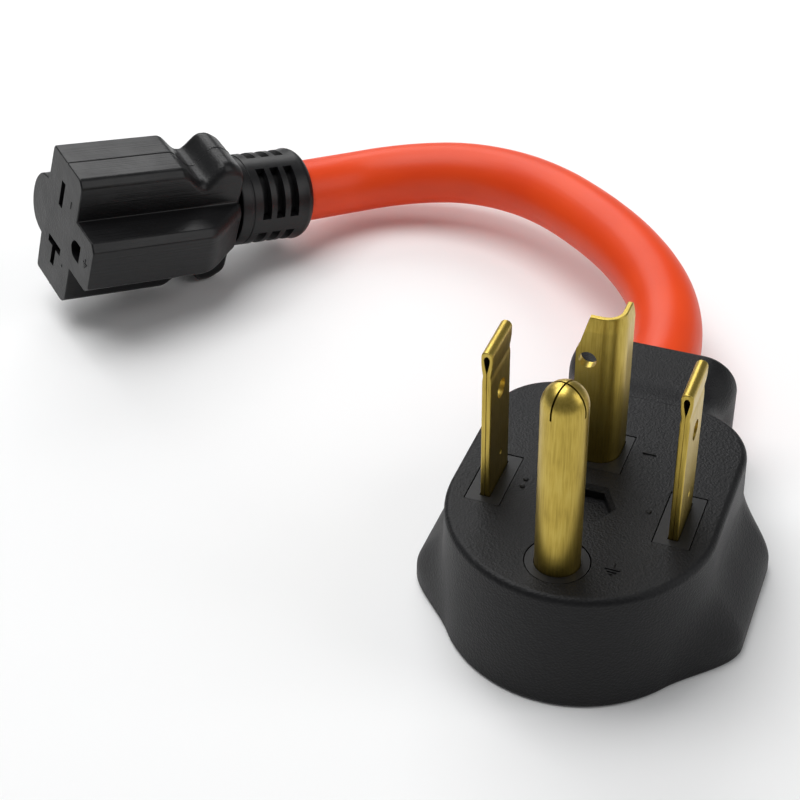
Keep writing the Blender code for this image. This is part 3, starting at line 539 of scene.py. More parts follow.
def stamped_brass(settings):
    """Cartridge brass strip, stamped and tumbled.

    Bright yellow metal with fine scratches up the blade and duller, handled patches.
    """
    look, tree, shader, where = new_look("stamped brass")
    along = add(tree, "ShaderNodeMapping", {"Vector": where, "Scale": (1.0, 1.0, 0.06)})
    scratch = add(tree, "ShaderNodeTexNoise", {"Vector": along.outputs["Vector"],
                                               "Scale": 1 / (0.35 * MM), "Detail": 4.0})
    patch = add(tree, "ShaderNodeTexNoise", {"Vector": where, "Scale": 1 / (12 * MM), "Detail": 3.0})
    bump = add(tree, "ShaderNodeBump", {"Strength": 0.2, "Distance": 0.012 * MM,
                                        "Height": scratch.outputs["Fac"]})
    blend = add(tree, "ShaderNodeMix", {"Factor": 0.5, "A": patch.outputs["Fac"],
                                        "B": scratch.outputs["Fac"]})
    tint = shades(tree, blend.outputs["Result"], (0.3, settings.tarnish), (0.5, settings.colour),
                  (0.72, "#C8B260"))
    rough = add(tree, "ShaderNodeMapRange", {"Value": blend.outputs["Result"], "From Min": 0.3,
                                             "From Max": 0.7, "To Min": 0.42, "To Max": 0.3})
    feed(tree, shader, Base_Color=tint, Normal=bump.outputs["Normal"], Roughness=rough.outputs["Result"])
    shader.inputs["Metallic"].default_value = 1.0
    return look


def extruded_jacket(settings):
    """Vinyl jacket extruded over the lay: satin orange with faint draw lines along the cable."""
    look, tree, shader, where = new_look("extruded orange vinyl")
    along = add(tree, "ShaderNodeAttribute", attribute_name="cable_place").outputs["Vector"]
    drawn = add(tree, "ShaderNodeMapping", {"Vector": along, "Scale": (1.0, 1.0, 0.05)})
    lines = add(tree, "ShaderNodeTexNoise", {"Vector": drawn.outputs["Vector"], "Scale": 1 / (1.6 * MM),
                                             "Detail": 3.0})
    skin = add(tree, "ShaderNodeTexNoise", {"Vector": where, "Scale": 1 / (0.45 * MM), "Detail": 2.0})
    cloud = add(tree, "ShaderNodeTexNoise", {"Vector": where, "Scale": 1 / (22 * MM), "Detail": 2.0})
    fine = add(tree, "ShaderNodeBump", {"Strength": 0.2, "Distance": 0.03 * MM,
                                        "Height": skin.outputs["Fac"]})
    bump = add(tree, "ShaderNodeBump", {"Strength": 0.25, "Distance": 0.15 * MM,
                                        "Height": lines.outputs["Fac"],
                                        "Normal": fine.outputs["Normal"]})
    tint = shades(tree, cloud.outputs["Fac"], (0.3, "#E03F0C"), (0.7, settings.colour))
    rough = add(tree, "ShaderNodeMapRange", {"Value": lines.outputs["Fac"], "To Min": 0.36, "To Max": 0.5})
    feed(tree, shader, Base_Color=tint, Normal=bump.outputs["Normal"], Roughness=rough.outputs["Result"])
    shader.inputs["IOR"].default_value = 1.4
    return look


def wire_insulation(name, colour):
    """Extruded vinyl on a single wire: satin with small drawing marks."""
    look, tree, shader, where = new_look(name)
    skin = add(tree, "ShaderNodeTexNoise", {"Vector": where, "Scale": 1 / (0.6 * MM), "Detail": 2.0})
    bump = add(tree, "ShaderNodeBump", {"Strength": 0.2, "Distance": 0.03 * MM,
                                        "Height": skin.outputs["Fac"]})
    feed(tree, shader, Normal=bump.outputs["Normal"])
    shader.inputs["Base Color"].default_value = linear(colour)
    shader.inputs["Roughness"].default_value = 0.42
    return look


def stranded_copper():
    """Bunched bare copper wires: warm metal with fine wires twisted round the bundle, darker in the grooves
    between the wires as painted shade.
    """
    look, tree, shader, where = new_look("stranded copper")
    along = add(tree, "ShaderNodeAttribute", attribute_name="cable_place").outputs["Vector"]
    wires = add(tree, "ShaderNodeTexWave", {"Vector": along, "Scale": 0.314 / (0.5 * MM)},
                bands_direction="DIAGONAL")
    bump = add(tree, "ShaderNodeBump", {"Strength": 0.8, "Distance": 0.12 * MM,
                                        "Height": wires.outputs["Fac"]})
    # Painted shade: the ramp darkens the copper in the grooves between the twisted wires, where the bump
    # sinks, and leaves it bright on their crests.
    tint = shades(tree, wires.outputs["Fac"], (0.2, "#7A4426"), (0.8, "#C9804F"))
    feed(tree, shader, Base_Color=tint, Normal=bump.outputs["Normal"])
    shader.inputs["Metallic"].default_value = 1.0
    shader.inputs["Roughness"].default_value = 0.32
    return look


def twisted_paper():
    """Paper cord twisted as filler: matt tan with a fibrous surface."""
    look, tree, shader, where = new_look("twisted paper")
    fibre = add(tree, "ShaderNodeTexNoise", {"Vector": where, "Scale": 1 / (0.4 * MM), "Detail": 5.0})
    bump = add(tree, "ShaderNodeBump", {"Strength": 0.5, "Distance": 0.08 * MM,
                                        "Height": fibre.outputs["Fac"]})
    tint = shades(tree, fibre.outputs["Fac"], (0.3, "#A8946A"), (0.7, "#D2BF95"))
    feed(tree, shader, Base_Color=tint, Normal=bump.outputs["Normal"])
    shader.inputs["Roughness"].default_value = 0.85
    return look


def moulded_phenolic(name, colour, dark):
    """Rigid moulding filled with flock: slightly mottled, half matt."""
    look, tree, shader, where = new_look(name)
    fleck = add(tree, "ShaderNodeTexNoise", {"Vector": where, "Scale": 1 / (0.8 * MM), "Detail": 4.0})
    bump = add(tree, "ShaderNodeBump", {"Strength": 0.3, "Distance": 0.04 * MM,
                                        "Height": fleck.outputs["Fac"]})
    tint = shades(tree, fleck.outputs["Fac"], (0.35, dark), (0.65, colour))
    feed(tree, shader, Base_Color=tint, Normal=bump.outputs["Normal"])
    shader.inputs["Roughness"].default_value = 0.5
    shader.inputs["IOR"].default_value = 1.42
    return look


# ---------------------------------------------------------------- plug


def plug_plan(count=360):
    """The face's plan and its outward normals, evenly spaced: half circle, sides and rear corners."""
    half, corner = FACE_HALF_WIDTH, REAR_CORNER
    front = arc((0, FRONT_ARC_Y), half, 180, 360, 121)
    right = arc((half - corner, FACE_REAR_Y - corner), corner, 0, 90, 31)
    left = arc((corner - half, FACE_REAR_Y - corner), corner, 90, 180, 31)
    outline = np.vstack([front, right, left, front[:1]])
    run = np.concatenate([[0], np.cumsum(np.linalg.norm(np.diff(outline, axis=0), axis=1))])
    even = np.linspace(0, run[-1], count, endpoint=False)
    points = np.stack([np.interp(even, run, outline[:, i]) for i in (0, 1)], axis=1)
    tangent = np.roll(points, -1, axis=0) - np.roll(points, 1, axis=0)
    tangent /= np.linalg.norm(tangent, axis=1)[:, None]
    return points, np.stack([tangent[:, 1], -tangent[:, 0]], axis=1)


def plug_body_shape(rim):
    """Rings up the plug: the plan grown by the draft, pushed out sideways over the grip wings."""
    plan, normal = plug_plan()
    base = [(drop, inset) for inset, drop in quarter_round(BASE_ROUND, 5)[::-1]]
    heights = np.concatenate([
        np.linspace(1.4, WING_FULL, 4),
        np.linspace(WING_FULL, WING_TOP, 36)[1:],
        np.linspace(WING_TOP, PLUG_HEIGHT - rim, 8)[1:-1],
    ])
    wall = [(z, 0.0) for z in heights]
    top = [(PLUG_HEIGHT - drop, inset) for inset, drop in quarter_round(rim, 8)]
    rings = []
    for z, inset in base + wall + top:
        points = plan + (SIDE_TAPER * (1 - z / PLUG_HEIGHT) - inset) * normal
        x, y = points.T
        wing = smooth_step(y, *WING_FRONT) * (1 - smooth_step(y, *WING_REAR))
        reach = WING_REACH * (1 - smooth_step(z, WING_FULL, WING_TOP))
        x = x + np.sign(x) * reach * wing * (np.abs(x) > 1)
        rings.append(np.stack([x, y, np.full(len(x), z)], axis=1))
    return ring_mesh("plug_housing_fine", rings)


def boot_shape():
    """Sections along Y: a rounded oblong, pinched by a squared sine between the face and the lip."""
    ends = [(BOOT_END_Y - drop, inset * 0.8) for inset, drop in quarter_round(2.0, 7)]
    stations = [(y, 0.0) for y in np.linspace(FACE_REAR_Y - 9, BOOT_END_Y - 2, 44)[:-1]] + ends
    rings = []
    for y, narrow in stations:
        t = (y - FACE_REAR_Y) / (BOOT_END_Y - FACE_REAR_Y)
        pinch = math.sin(math.pi * min(max(t, 0.0), 0.85) / 0.85) ** 2
        half = BOOT_HALF_WIDTH - BOOT_WAIST * pinch - narrow + BOOT_FLARE * max(-t, 0.0)
        top = BOOT_TOP - BOOT_SADDLE * pinch - narrow
        low = BOOT_BOTTOM + narrow
        upper, lower = BOOT_CORNER, BOOT_FOOT_CORNER
        section = np.vstack([
            arc((half - upper, top - upper), upper, 0, 90, 20),
            arc((upper - half, top - upper), upper, 90, 180, 20),
            arc((lower - half, low + lower), lower, 180, 270, 14),
            arc((half - lower, low + lower), lower, 270, 360, 14),
        ])
        rings.append(np.stack([section[:, 0], np.full(len(section), y), section[:, 1]], axis=1))
    return ring_mesh("boot", rings)


def neutral_boss_centre():
    return (NEUTRAL_CORNER[0] - NEUTRAL_LEGS[0] / 2, NEUTRAL_CORNER[1] + NEUTRAL_LEGS[1] / 2)


def boss_outlines(grow):
    """The four bosses round the prongs: three rectangles and a circle, each grown by a margin."""
    half = BLADE_SPACING / 2
    return [
        centred(half, 0, *HOT_BOSS, grow),
        centred(-half, 0, *HOT_BOSS, grow),
        centred(*neutral_boss_centre(), *NEUTRAL_BOSS, grow),
        circle((0, PIN_Y), PIN_BOSS_RADIUS + grow, 72),
    ]


def plug_cutters():
    """What is cut from the plug: chamber, boss windows, cable bore and a hexagon that widens at its rim."""
    plan, normal = plug_plan(180)
    tools = [prism("chamber", plan - PLUG_WALL * normal, PLUG_FLOOR, PLUG_HEIGHT - FACE_WALL)]
    for outline in boss_outlines(0.22):
        tools.append(prism("window", outline, PLUG_HEIGHT - FACE_WALL - 1, PLUG_HEIGHT + 1))
    bore = circle((0, CABLE_ROUTE[0][2]), CABLE_RADIUS + GAP, 64)
    tools.append(prism("bore", bore, FACE_REAR_Y - PLUG_WALL - 1, BOOT_END_Y + 1, "Y"))
    top = PLUG_HEIGHT
    rings = []
    for z, radius in ((top - HEX_DEPTH, HEX_RADIUS), (top - HEX_CHAMFER, HEX_RADIUS),
                      (top + 1, HEX_RADIUS + HEX_CHAMFER + 1)):
        hexagon = circle(HEX_CENTRE, radius, 6)
        rings.append(np.stack([hexagon[:, 0], hexagon[:, 1], np.full(6, z)], axis=1))
    tools.append(ring_mesh("hex recess", rings))
    return tools


def raised_pill(centre, length, width, degrees, height, base):
    """A low bar with round ends and a domed top, sunk 0.1 mm into what it stands on."""
    c, s = math.cos(math.radians(degrees)), math.sin(math.radians(degrees))
    half = max(length - width, 0.02) / 2
    rings = []
    levels = ((-0.1, 0.0), (height * 0.5, 0.02), (height * 0.85, width * 0.14), (height, width * 0.32))
    for z, inset in levels:
        r = width / 2 - inset
        end = np.vstack([arc((half, 0), r, -90, 90, 9), arc((-half, 0), r, 90, 270, 9)])
        x = centre[0] + end[:, 0] * c - end[:, 1] * s
        y = centre[1] + end[:, 0] * s + end[:, 1] * c
        rings.append(np.stack([x, y, np.full(len(x), base + z)], axis=1))
    return rings


def joined_rings(name, several, matrix=None):
    """Many small closed skins as one mesh."""
    made = [ring_mesh(name, rings, matrix=matrix) for rings in several]
    work = bmesh.new()
    for part in made:
        work.from_mesh(part.data)
    mesh = bpy.data.meshes.new(name)
    work.to_mesh(mesh)
    work.free()
    for part in made:
        bpy.data.objects.remove(part, do_unlink=True)
    obj = bpy.data.objects.new(name, mesh)
    bpy.context.scene.collection.objects.link(obj)
    return obj


def earth_symbol(x, y, size, height, base):
    """A stem over three bars that grow shorter: the usual sign for earth."""
    bars = [raised_pill((x, y + size * 0.32), size * 0.5, 0.5, 90, height, base)]
    for step, share in enumerate((1.0, 0.62, 0.26)):
        bars.append(raised_pill((x, y - size * 0.22 * step), size * share, 0.5, 0, height, base))
    return bars


class ADAPTER_OT_plug_housing(bpy.types.Operator):
    """Model the plug's moulded body with its grip wings and cable boot"""

    bl_idname = "adapter.plug_housing"
    bl_label = "Plug housing"

    def execute(self, context):
        settings = context.scene.adapter_plug
        look = grained_vinyl(settings)
        body = plug_body_shape(settings.rim_round)
        combine(body, [boot_shape()], "UNION")
        combine(body, plug_cutters())
        settle(body, look, "plug", ["plug_housing"])
        height = settings.mark_height
        top = PLUG_HEIGHT
        marks = [
            raised_pill((13.2, 0.4), 1.1, 1.1, 0, height, top),
            raised_pill((-13.4, 1.6), 1.1, 1.1, 0, height, top),
            raised_pill((-13.4, -0.8), 1.1, 1.1, 0, height, top),
            raised_pill((8.6, 18.3), 3.0, 0.6, 0, height, top),
            *earth_symbol(10.9, -18.6, 3.2, height, top),
        ]
        settle(joined_rings("terminal_marks", marks), look, "plug")
        return {"FINISHED"}


# ---------------------------------------------------------------- blades


def barrel_parts(x, y, neck_top):
    """The crimp barrel rolled from a blade's tail, and the neck that carries it."""
    neck = centred(x, y, BLADE_THICKNESS * 0.9, BARREL_LENGTH - 1, 0)
    outer = circle((x, BARREL_Z), BARREL_RADIUS, 40)
    y0, y1 = y - BARREL_LENGTH / 2, y + BARREL_LENGTH / 2
    joins = [prism("neck", neck, BARREL_Z + BARREL_RADIUS - 0.4, neck_top)]
    joins.append(prism("barrel", outer, y0, y1, "Y"))
    cuts = [prism("barrel bore", circle((x, BARREL_Z), BARREL_BORE, 32), y0 - 1, y1 + 1, "Y")]
    return joins, cuts


def folded_outline(centre):
    """Edge view of the folded strip: straight leaves that swell into a round fold at the tip."""
    half = BLADE_THICKNESS / 2
    wide = half + FOLD_BULGE
    z = np.concatenate([[BLADE_FOOT], np.linspace(BLADE_TIP - 8, BLADE_TIP - wide, 22)])
    swell = FOLD_BULGE * smooth_step(z, BLADE_TIP - 5.6, BLADE_TIP - 2.4)
    pinch = 0.14 * np.exp(-(((z - (BLADE_TIP - 6.0)) / 0.8) ** 2))
    x = half + swell - pinch
    crown = arc((0, BLADE_TIP - wide), wide, 0, 180, 25)[1:-1]
    right = np.stack([x, z], axis=1)
    left = np.stack([-x, z], axis=1)[::-1]
    return np.vstack([right, crown, left]) + (centre, 0)


def eye_outline(centre):
    """The teardrop left inside the fold, drawn out to a point below."""
    a = np.linspace(0, 2 * math.pi, 32, endpoint=False)
    z = np.sin(a)
    width = 0.62 * np.cos(a) * np.where(z < 0, (1 + z) ** 0.75 + 0.06, 1)
    height = np.where(z < 0, z * 3.6, z * 1.0)
    return np.stack([centre + width, BLADE_TIP - 2.0 + height], axis=1)


def hot_blade(name, side, settings):
    """The folded edge view pushed across the blade's width, less its eye, hole, seams and ball dimple."""
    centre = side * BLADE_SPACING / 2
    half = BLADE_WIDTH / 2
    blade = slab(name + "_fine", folded_outline(centre), -half, half, settings.edge_round)
    joins, cuts = barrel_parts(centre, 0.0, BLADE_FOOT + 1)
    combine(blade, joins, "UNION")
    cuts.append(prism("eye", eye_outline(centre), -half - 1, half + 1, "Y"))
    y, z, radius = BLADE_HOLE
    cuts.append(prism("hole", circle((y, z), radius, 40), centre - 3, centre + 3, "X"))
    seam = settings.seam / 2
    low, high = PLUG_HEIGHT - 8, BLADE_TIP - 5
    for y0, y1 in ((-half - 1, -half + 0.4), (half - 0.4, half + 1)):
        cuts.append(prism("seam", rectangle(centre - seam, centre + seam, y0, y1), low, high))
    y, z, radius = DIMPLE
    a = np.linspace(0.001, math.pi - 0.001, 13)
    ball = np.stack([np.sin(a) * radius, -np.cos(a) * radius + z], axis=1)
    cuts.append(lathe("dimple", ball, (centre + BLADE_THICKNESS / 2 + 1.02, y), 24))
    combine(blade, cuts)
    return blade


def neutral_outline():
    """Plan of the L-shaped blade: two legs and a wide bend, an even thickness apart."""
    cx, cy = NEUTRAL_CORNER
    leg_x, leg_y = NEUTRAL_LEGS
    centre = (cx - NEUTRAL_BEND, cy + NEUTRAL_BEND)
    thick = BLADE_THICKNESS
    return np.vstack([
        [(cx - leg_x, cy)],
        arc(centre, NEUTRAL_BEND, 270, 360, 17),
        [(cx, cy + leg_y), (cx - thick, cy + leg_y)],
        arc(centre, NEUTRAL_BEND - thick, 360, 270, 13),
        [(cx - leg_x, cy + thick)],
    ])


def neutral_blade(settings):
    """The plan pushed up the blade, drawn in near the tip as the height to the power 1.4."""
    edge = settings.edge_round
    plan = neutral_outline()
    length, most = TIP_TAPER
    z = np.linspace(BLADE_TIP - length, BLADE_TIP - edge, 10)
    levels = [(BLADE_FOOT, 0.0)] + list(zip(z, most * ((z - z[0]) / (z[-1] - z[0])) ** 1.4))
    levels += [(BLADE_TIP - drop, most + inset) for inset, drop in quarter_round(edge, 4)[1:]]
    rings = []
    for z, inset in levels:
        points = inset_outline(plan, inset)
        rings.append(np.stack([points[:, 0], points[:, 1], np.full(len(points), z)], axis=1))
    blade = ring_mesh("neutral_blade_fine", rings)
    left = NEUTRAL_CORNER[0] - NEUTRAL_LEGS[0]
    across, down = NEUTRAL_TIP_CUT
    corner = [
        (left - 2, BLADE_TIP + 1),
        (left - 2, BLADE_TIP - down - 3),
        (left, BLADE_TIP - down),
        (left + 0.5, BLADE_TIP - down + 0.9),
        (left + across, BLADE_TIP - 0.4),
        (left + across + 0.5, BLADE_TIP + 1),
    ]
    y0, y1 = NEUTRAL_CORNER[1] - 1, NEUTRAL_CORNER[1] + BLADE_THICKNESS + 1
    x, z, radius = NEUTRAL_HOLE
    hole = circle((x, z), radius, 40)
    return combine(blade, [prism("corner", corner, y0, y1, "Y"), prism("hole", hole, y0, y1, "Y")])


def ground_pin():
    """A tube turned to a dome, split crosswise at the tip, with a crimp barrel at its foot."""
    shoulder = PIN_TIP - PIN_DOME
    a = np.radians(np.linspace(0, 89.5, 22))
    dome = [(PIN_RADIUS * math.cos(t), shoulder + PIN_DOME * math.sin(t)) for t in a]
    foot = [(PIN_RADIUS - 0.3, BLADE_FOOT), (PIN_RADIUS, BLADE_FOOT + 0.3), (PIN_RADIUS, shoulder - 6)]
    profile = foot + dome
    pin = lathe("ground_pin_fine", profile, (0, PIN_Y), 96)
    joins, cuts = barrel_parts(0.0, PIN_Y, BLADE_FOOT + 1)
    combine(pin, joins, "UNION")
    width, depth = PIN_SLIT
    for turn in (PIN_SLIT_TURN, PIN_SLIT_TURN + 90):
        c, s = math.cos(math.radians(turn)), math.sin(math.radians(turn))
        slit = rectangle(-6, 6, -width / 2, width / 2) @ np.array([[c, s], [-s, c]]) + (0, PIN_Y)
        cuts.append(prism("slit", slit, PIN_TIP - depth, PIN_TIP + 1))
    cuts.append(prism("pin bore", circle((0, PIN_Y), PIN_RADIUS - PIN_WALL, 48), PIN_BORE_FOOT, shoulder))
    return combine(pin, cuts)


class ADAPTER_OT_blades(bpy.types.Operator):
    """Model the two folded hot blades, the L-shaped neutral blade and the earth pin"""

    bl_idname = "adapter.blades"
    bl_label = "Blades and earth pin"

    def execute(self, context):
        settings = context.scene.adapter_blades
        brass = stamped_brass(settings)
        for name, side in (("blade_x", 1), ("blade_y", -1)):
            settle(hot_blade(name, side, settings), brass, "plug", [name])
        settle(neutral_blade(settings), brass, "plug", ["neutral_blade"])
        settle(ground_pin(), brass, "plug", ["ground_pin"])
        return {"FINISHED"}


# ---------------------------------------------------------------- cable


def connector_matrix():
    """The connector's frame in millimetres: Z back along the cable, X to the earth slot."""
    heading, pitch = math.radians(CONNECTOR_HEADING), math.radians(CONNECTOR_PITCH)
    level = math.cos(pitch)
    back = Vector((math.cos(heading) * level, math.sin(heading) * level, -math.sin(pitch)))
    side = back.cross(Vector((0, 0, 1))).normalized()
    side = Matrix.Rotation(math.radians(CONNECTOR_ROLL), 3, back) @ side
    rotation = Matrix((side, back.cross(side), back)).transposed()
    return Matrix.Translation(Vector(CONNECTOR_FACE)) @ rotation.to_4x4()


def smooth_curve(points, step):
    """Evenly spaced points on a Catmull-Rom curve through the given ones."""
    knots = np.array(points, float)
    knots = np.vstack([2 * knots[0] - knots[1], knots, 2 * knots[-1] - knots[-2]])
    p0, p1, p2, p3 = (knots[i : len(knots) - 3 + i, None, :] for i in range(4))
    t = np.linspace(0, 1, 24, endpoint=False)[None, :, None]
    fine = 0.5 * (2 * p1 + (p2 - p0) * t + (2 * p0 - 5 * p1 + 4 * p2 - p3) * t**2
                  + (3 * p1 - p0 - 3 * p2 + p3) * t**3)
    fine = np.vstack([fine.reshape(-1, 3), knots[-2]])
    run = np.concatenate([[0], np.cumsum(np.linalg.norm(np.diff(fine, axis=0), axis=1))])
    even = np.linspace(0, run[-1], max(3, int(round(run[-1] / step)) + 1))
    return np.stack([np.interp(even, run, fine[:, i]) for i in range(3)], axis=1)


def cable_centres(step):
    """The jacket's centreline from inside the plug's boot to inside the connector."""
    matrix = connector_matrix()
    first = CABLE_ROUTE[0]
    entry = [(0.0, JACKET_ENTRY_Y, first[2]), (0.0, (JACKET_ENTRY_Y + first[1]) / 2, first[2])]
    depths = (RELIEF_END, 62.0, 53.0, BODY_LENGTH - 4)
    tail = [tuple(matrix @ Vector((*RELIEF_OFFSET, depth))) for depth in depths]
    return smooth_curve(entry + list(CABLE_ROUTE) + tail, step)


def frames_along(centres):
    """Tangent, side and up at each centre; the side never twists about the route."""
    tangents = np.gradient(centres, axis=0)
    tangents /= np.linalg.norm(tangents, axis=1)[:, None]
    side = np.cross(tangents[0], (0, 0, 1.0))
    sides = []
    for tangent in tangents:
        side = side - tangent * (side @ tangent)
        side = side / np.linalg.norm(side)
        sides.append(side)
    sides = np.array(sides)
    return tangents, sides, np.cross(sides, tangents)


def run_length(points):
    """How far along each point lies: the running sum of the distances between points."""
    return np.concatenate([[0], np.cumsum(np.linalg.norm(np.diff(points, axis=0), axis=1))])


def strand(centres, offset, ahead):
    """A helix about the centreline that starts low in the plug and ends facing the earth slot."""
    _, sides, ups = frames_along(centres)
    run = run_length(centres)
    earth = np.array(connector_matrix().col[0][:3])
    start = -math.pi / 2
    total = (math.atan2(earth @ ups[-1], earth @ sides[-1]) - start) % (2 * math.pi)
    angle = start + ahead + (total + 2 * math.pi * EXTRA_TURNS) * run / run[-1]
    return centres + offset * (np.cos(angle)[:, None] * sides + np.sin(angle)[:, None] * ups)


def sweep(name, centres, radius, sides, bore=0.0):
    """A round tube about a centreline: rings of cos and sin in the plane across it.

    The attribute cable_place holds the unrolled place: twice round the tube, then along it.
    """
    _, side, up = frames_along(centres)
    a = np.linspace(0, 2 * math.pi, sides, endpoint=False)
    ring = np.cos(a)[:, None] * side[:, None, :] + np.sin(a)[:, None] * up[:, None, :]
    rings = centres[:, None, :] + radius * ring
    run = np.repeat(run_length(centres)[:, None], sides, axis=1)
    across = [np.broadcast_to(radius * turn, run.shape) for turn in (np.cos(a), np.sin(a))]
    place = np.stack([*across, run], axis=-1)
    if bore:
        rings = np.concatenate([rings, (centres[:, None, :] + bore * ring)[::-1]])
        place = np.concatenate([place, place[::-1]])
    obj = ring_mesh(name, rings, wrap_rows=bool(bore))
    attribute = obj.data.attributes.new("cable_place", "FLOAT_VECTOR", "POINT")
    attribute.data.foreach_set("vector", (place * MM).ravel())
    obj.data.shade_smooth()
    obj.data.set_sharp_from_angle(angle=math.radians(40))
    return obj


def flexing(obj, look, nodes):
    """Gives a cable part its material, hides the CAD parts it stands in for and bakes its placement into the
    mesh.
    """
    obj.data.materials.append(look)
    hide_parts(*nodes)
    start = Vector(CABLE_ROUTE[0]) * MM
    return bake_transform(obj)


def splay(colour):
    """Where a conductor runs inside the plug, from its crimp to the cable's end."""
    x, y = PLUG_CRIMPS[colour]
    z = BARREL_Z
    start = y + BARREL_LENGTH / 2 + 2 * GAP
    if colour == "green":
        return [(x, start, z), (x, 5.0, z), (x, 20.0, z + 0.2), (x, 30.0, z + 2.2)]
    return [(x, start, z), (x, start + 5.0, z), (x * 0.87, 16.5, z + 0.6),
            (x * 0.58, 24.5, z + 3.4), (x * 0.28, 32.5, z + 7.7)]


def conductor_path(centres, colour):
    """Crimp, splay, every third point of the helix, then straight into the contact's barrel."""
    lay = strand(centres, STRAND_OFFSET, LAY_ANGLES[colour])
    matrix = connector_matrix()
    crimp = CONTACT_BARREL_START + BARREL_LENGTH
    tail = [tuple(matrix @ Vector((*CONTACT_BARRELS[colour], crimp + d))) for d in (4.5, 2.5, 2 * GAP)]
    knots = splay(colour) + [tuple(p) for p in lay[::3]] + [tuple(lay[-1])] * (len(lay) % 3 != 1) + tail
    return smooth_curve(knots, FINE_STEP)


class ADAPTER_OT_cable(bpy.types.Operator):
    """Model the orange jacket and the three conductors and fillers laid inside it"""

    bl_idname = "adapter.cable"
    bl_label = "Cable"

    def execute(self, context):
        settings = context.scene.adapter_cable
        radius = settings.diameter / 2
        centres = cable_centres(FINE_STEP)
        jacket = sweep("jacket_fine", centres, radius, 96, radius - JACKET_WALL)
        flexing(jacket, extruded_jacket(settings), ["cable_jacket"])
        coarse = cable_centres(COARSE_STEP)
        copper = stranded_copper()
        matrix = connector_matrix()
        for colour in LAY_ANGLES:
            path = conductor_path(coarse, colour)
            sheath = sweep(f"{colour}_insulation_fine", path, INSULATION_RADIUS, 24, COPPER_RADIUS + GAP / 2)
            look = wire_insulation(f"{colour} wire insulation", getattr(settings, colour))
            flexing(sheath, look, [f"{colour}_insulation"])
            x, y = PLUG_CRIMPS[colour]
            first = (x, y - BARREL_LENGTH / 2 + 1, BARREL_Z)
            last = tuple(matrix @ Vector((*CONTACT_BARRELS[colour], CONTACT_BARREL_START + 1.6)))
            bare = np.vstack([first, path, last])
            core = sweep(f"{colour}_copper_fine", bare, COPPER_RADIUS, 20)
            flexing(core, copper, [f"{colour}_copper"])
        paper = twisted_paper()
        for number, ahead in enumerate(LAY_ANGLES.values(), 1):
            path = strand(coarse, FILLER_OFFSET, ahead + math.pi / 3)
            filler = sweep(f"filler_fine_{number}", path, FILLER_RADIUS, 14)
            flexing(filler, paper, [f"cable_filler_{number}"])
        return {"FINISHED"}


# ---------------------------------------------------------------- connector


def lobe_sizes(depth):
    """Half height of the bar and the reach of both lobes; smooth steps between waist and grip."""
    waist_z, waist = BODY_WAIST
    grip_z, grip = BODY_GRIP
    height = BODY_HALF_HEIGHT - (BODY_HALF_HEIGHT - waist) * smooth_step(depth, BODY_FRONT, waist_z)
    height += (grip - waist) * smooth_step(depth, waist_z + 0.5, grip_z)
    height -= GRIP_FALL * smooth_step(depth, grip_z + 1, BODY_LENGTH + 1.5)
    back = smooth_step(depth, *LOBE_TAPER)
    side = SIDE_LOBE[0] + (SIDE_LOBE_REAR - SIDE_LOBE[0]) * back
    rounded = ROUND_LOBE[0] + (ROUND_LOBE_REAR - ROUND_LOBE[0]) * back
    return float(height), float(side), float(rounded)


def rounded_corners(points, cuts, steps=6):
    """Each corner of an outline becomes a short curve that leaves its edges at the cut length."""
    points = np.asarray(points, float)
    before = np.roll(points, 1, axis=0) - points
    after = np.roll(points, -1, axis=0) - points
    lengths = [np.linalg.norm(v, axis=1) for v in (before, after)]
    cut = np.minimum(np.asarray(cuts, float), 0.49 * np.minimum(*lengths))[:, None]
    first = points + before / lengths[0][:, None] * cut
    last = points + after / lengths[1][:, None] * cut
    t = np.linspace(0, 1, steps)[None, :, None]
    curve = (1 - t) ** 2 * first[:, None] + 2 * t * (1 - t) * points[:, None] + t**2 * last[:, None]
    return curve.reshape(-1, 2)


def body_outline(depth, inset=0.0, ridge=0.0):
    """The four-lobed section at a depth, with a small ridge on top and below for the parting line."""
    height, side, rounded = lobe_sizes(depth)
    left, right = BODY_BAR[0] + inset, BODY_BAR[1] - inset
    height -= inset
    side = max(side - inset, right + 0.4)
    rounded = max(rounded - inset, 0.6 - left)
    lobe, mouth = SIDE_LOBE[1] - inset, ROUND_LOBE[1] - inset
    seam = 0.4 + 0.35 * math.sin(depth / 4.5)
    ear = float(smooth_step(depth, BODY_WAIST[0] - 3, BODY_GRIP[0]))
    soft = 0.25 + 1.9 * ear
    half = [
        ((left + 0.3, height), 1.1 + 1.4 * ear),
        ((seam - 0.3, height), 0.05),
        ((seam, height + ridge), 0.08),
        ((seam + 0.3, height), 0.05),
        ((right - 1.8, height), 0.5 + soft),
        ((right, height - 1.8), 0.5 + soft),
        ((right, lobe), 0.35 + 0.6 * ear),
        ((side - 1.8, lobe), 0.3 + 2.0 * ear),
        ((side, lobe - 1.8), 0.3 + 2.0 * ear),
    ]
    top = [((x, -y), c) for (x, y), c in half]
    bottom = [((x, y), c) for (x, y), c in reversed(half)]
    a = np.radians((78, 60, 40, 20, 0, -20, -40, -60, -78))
    lobe_x = left - (rounded + left) * np.cos(a) ** 0.8
    lobe_y = mouth * np.sin(a)
    round_lobe = [((left, mouth + 0.2), 0.3)] + [((x, y), 1.2) for x, y in zip(lobe_x, lobe_y)]
    round_lobe += [((left, -mouth - 0.2), 0.3)]
    points, cuts = zip(*(top + bottom + round_lobe))
    return rounded_corners(points, cuts)


def body_rings(stations, ridge=0.0):
    """The section at each depth and inset, set out along the connector's own Z."""
    rings = []
    for depth, inset in stations:
        outline = body_outline(depth, inset, ridge)
        rings.append(np.column_stack([outline, np.full(len(outline), depth)]))
    return rings


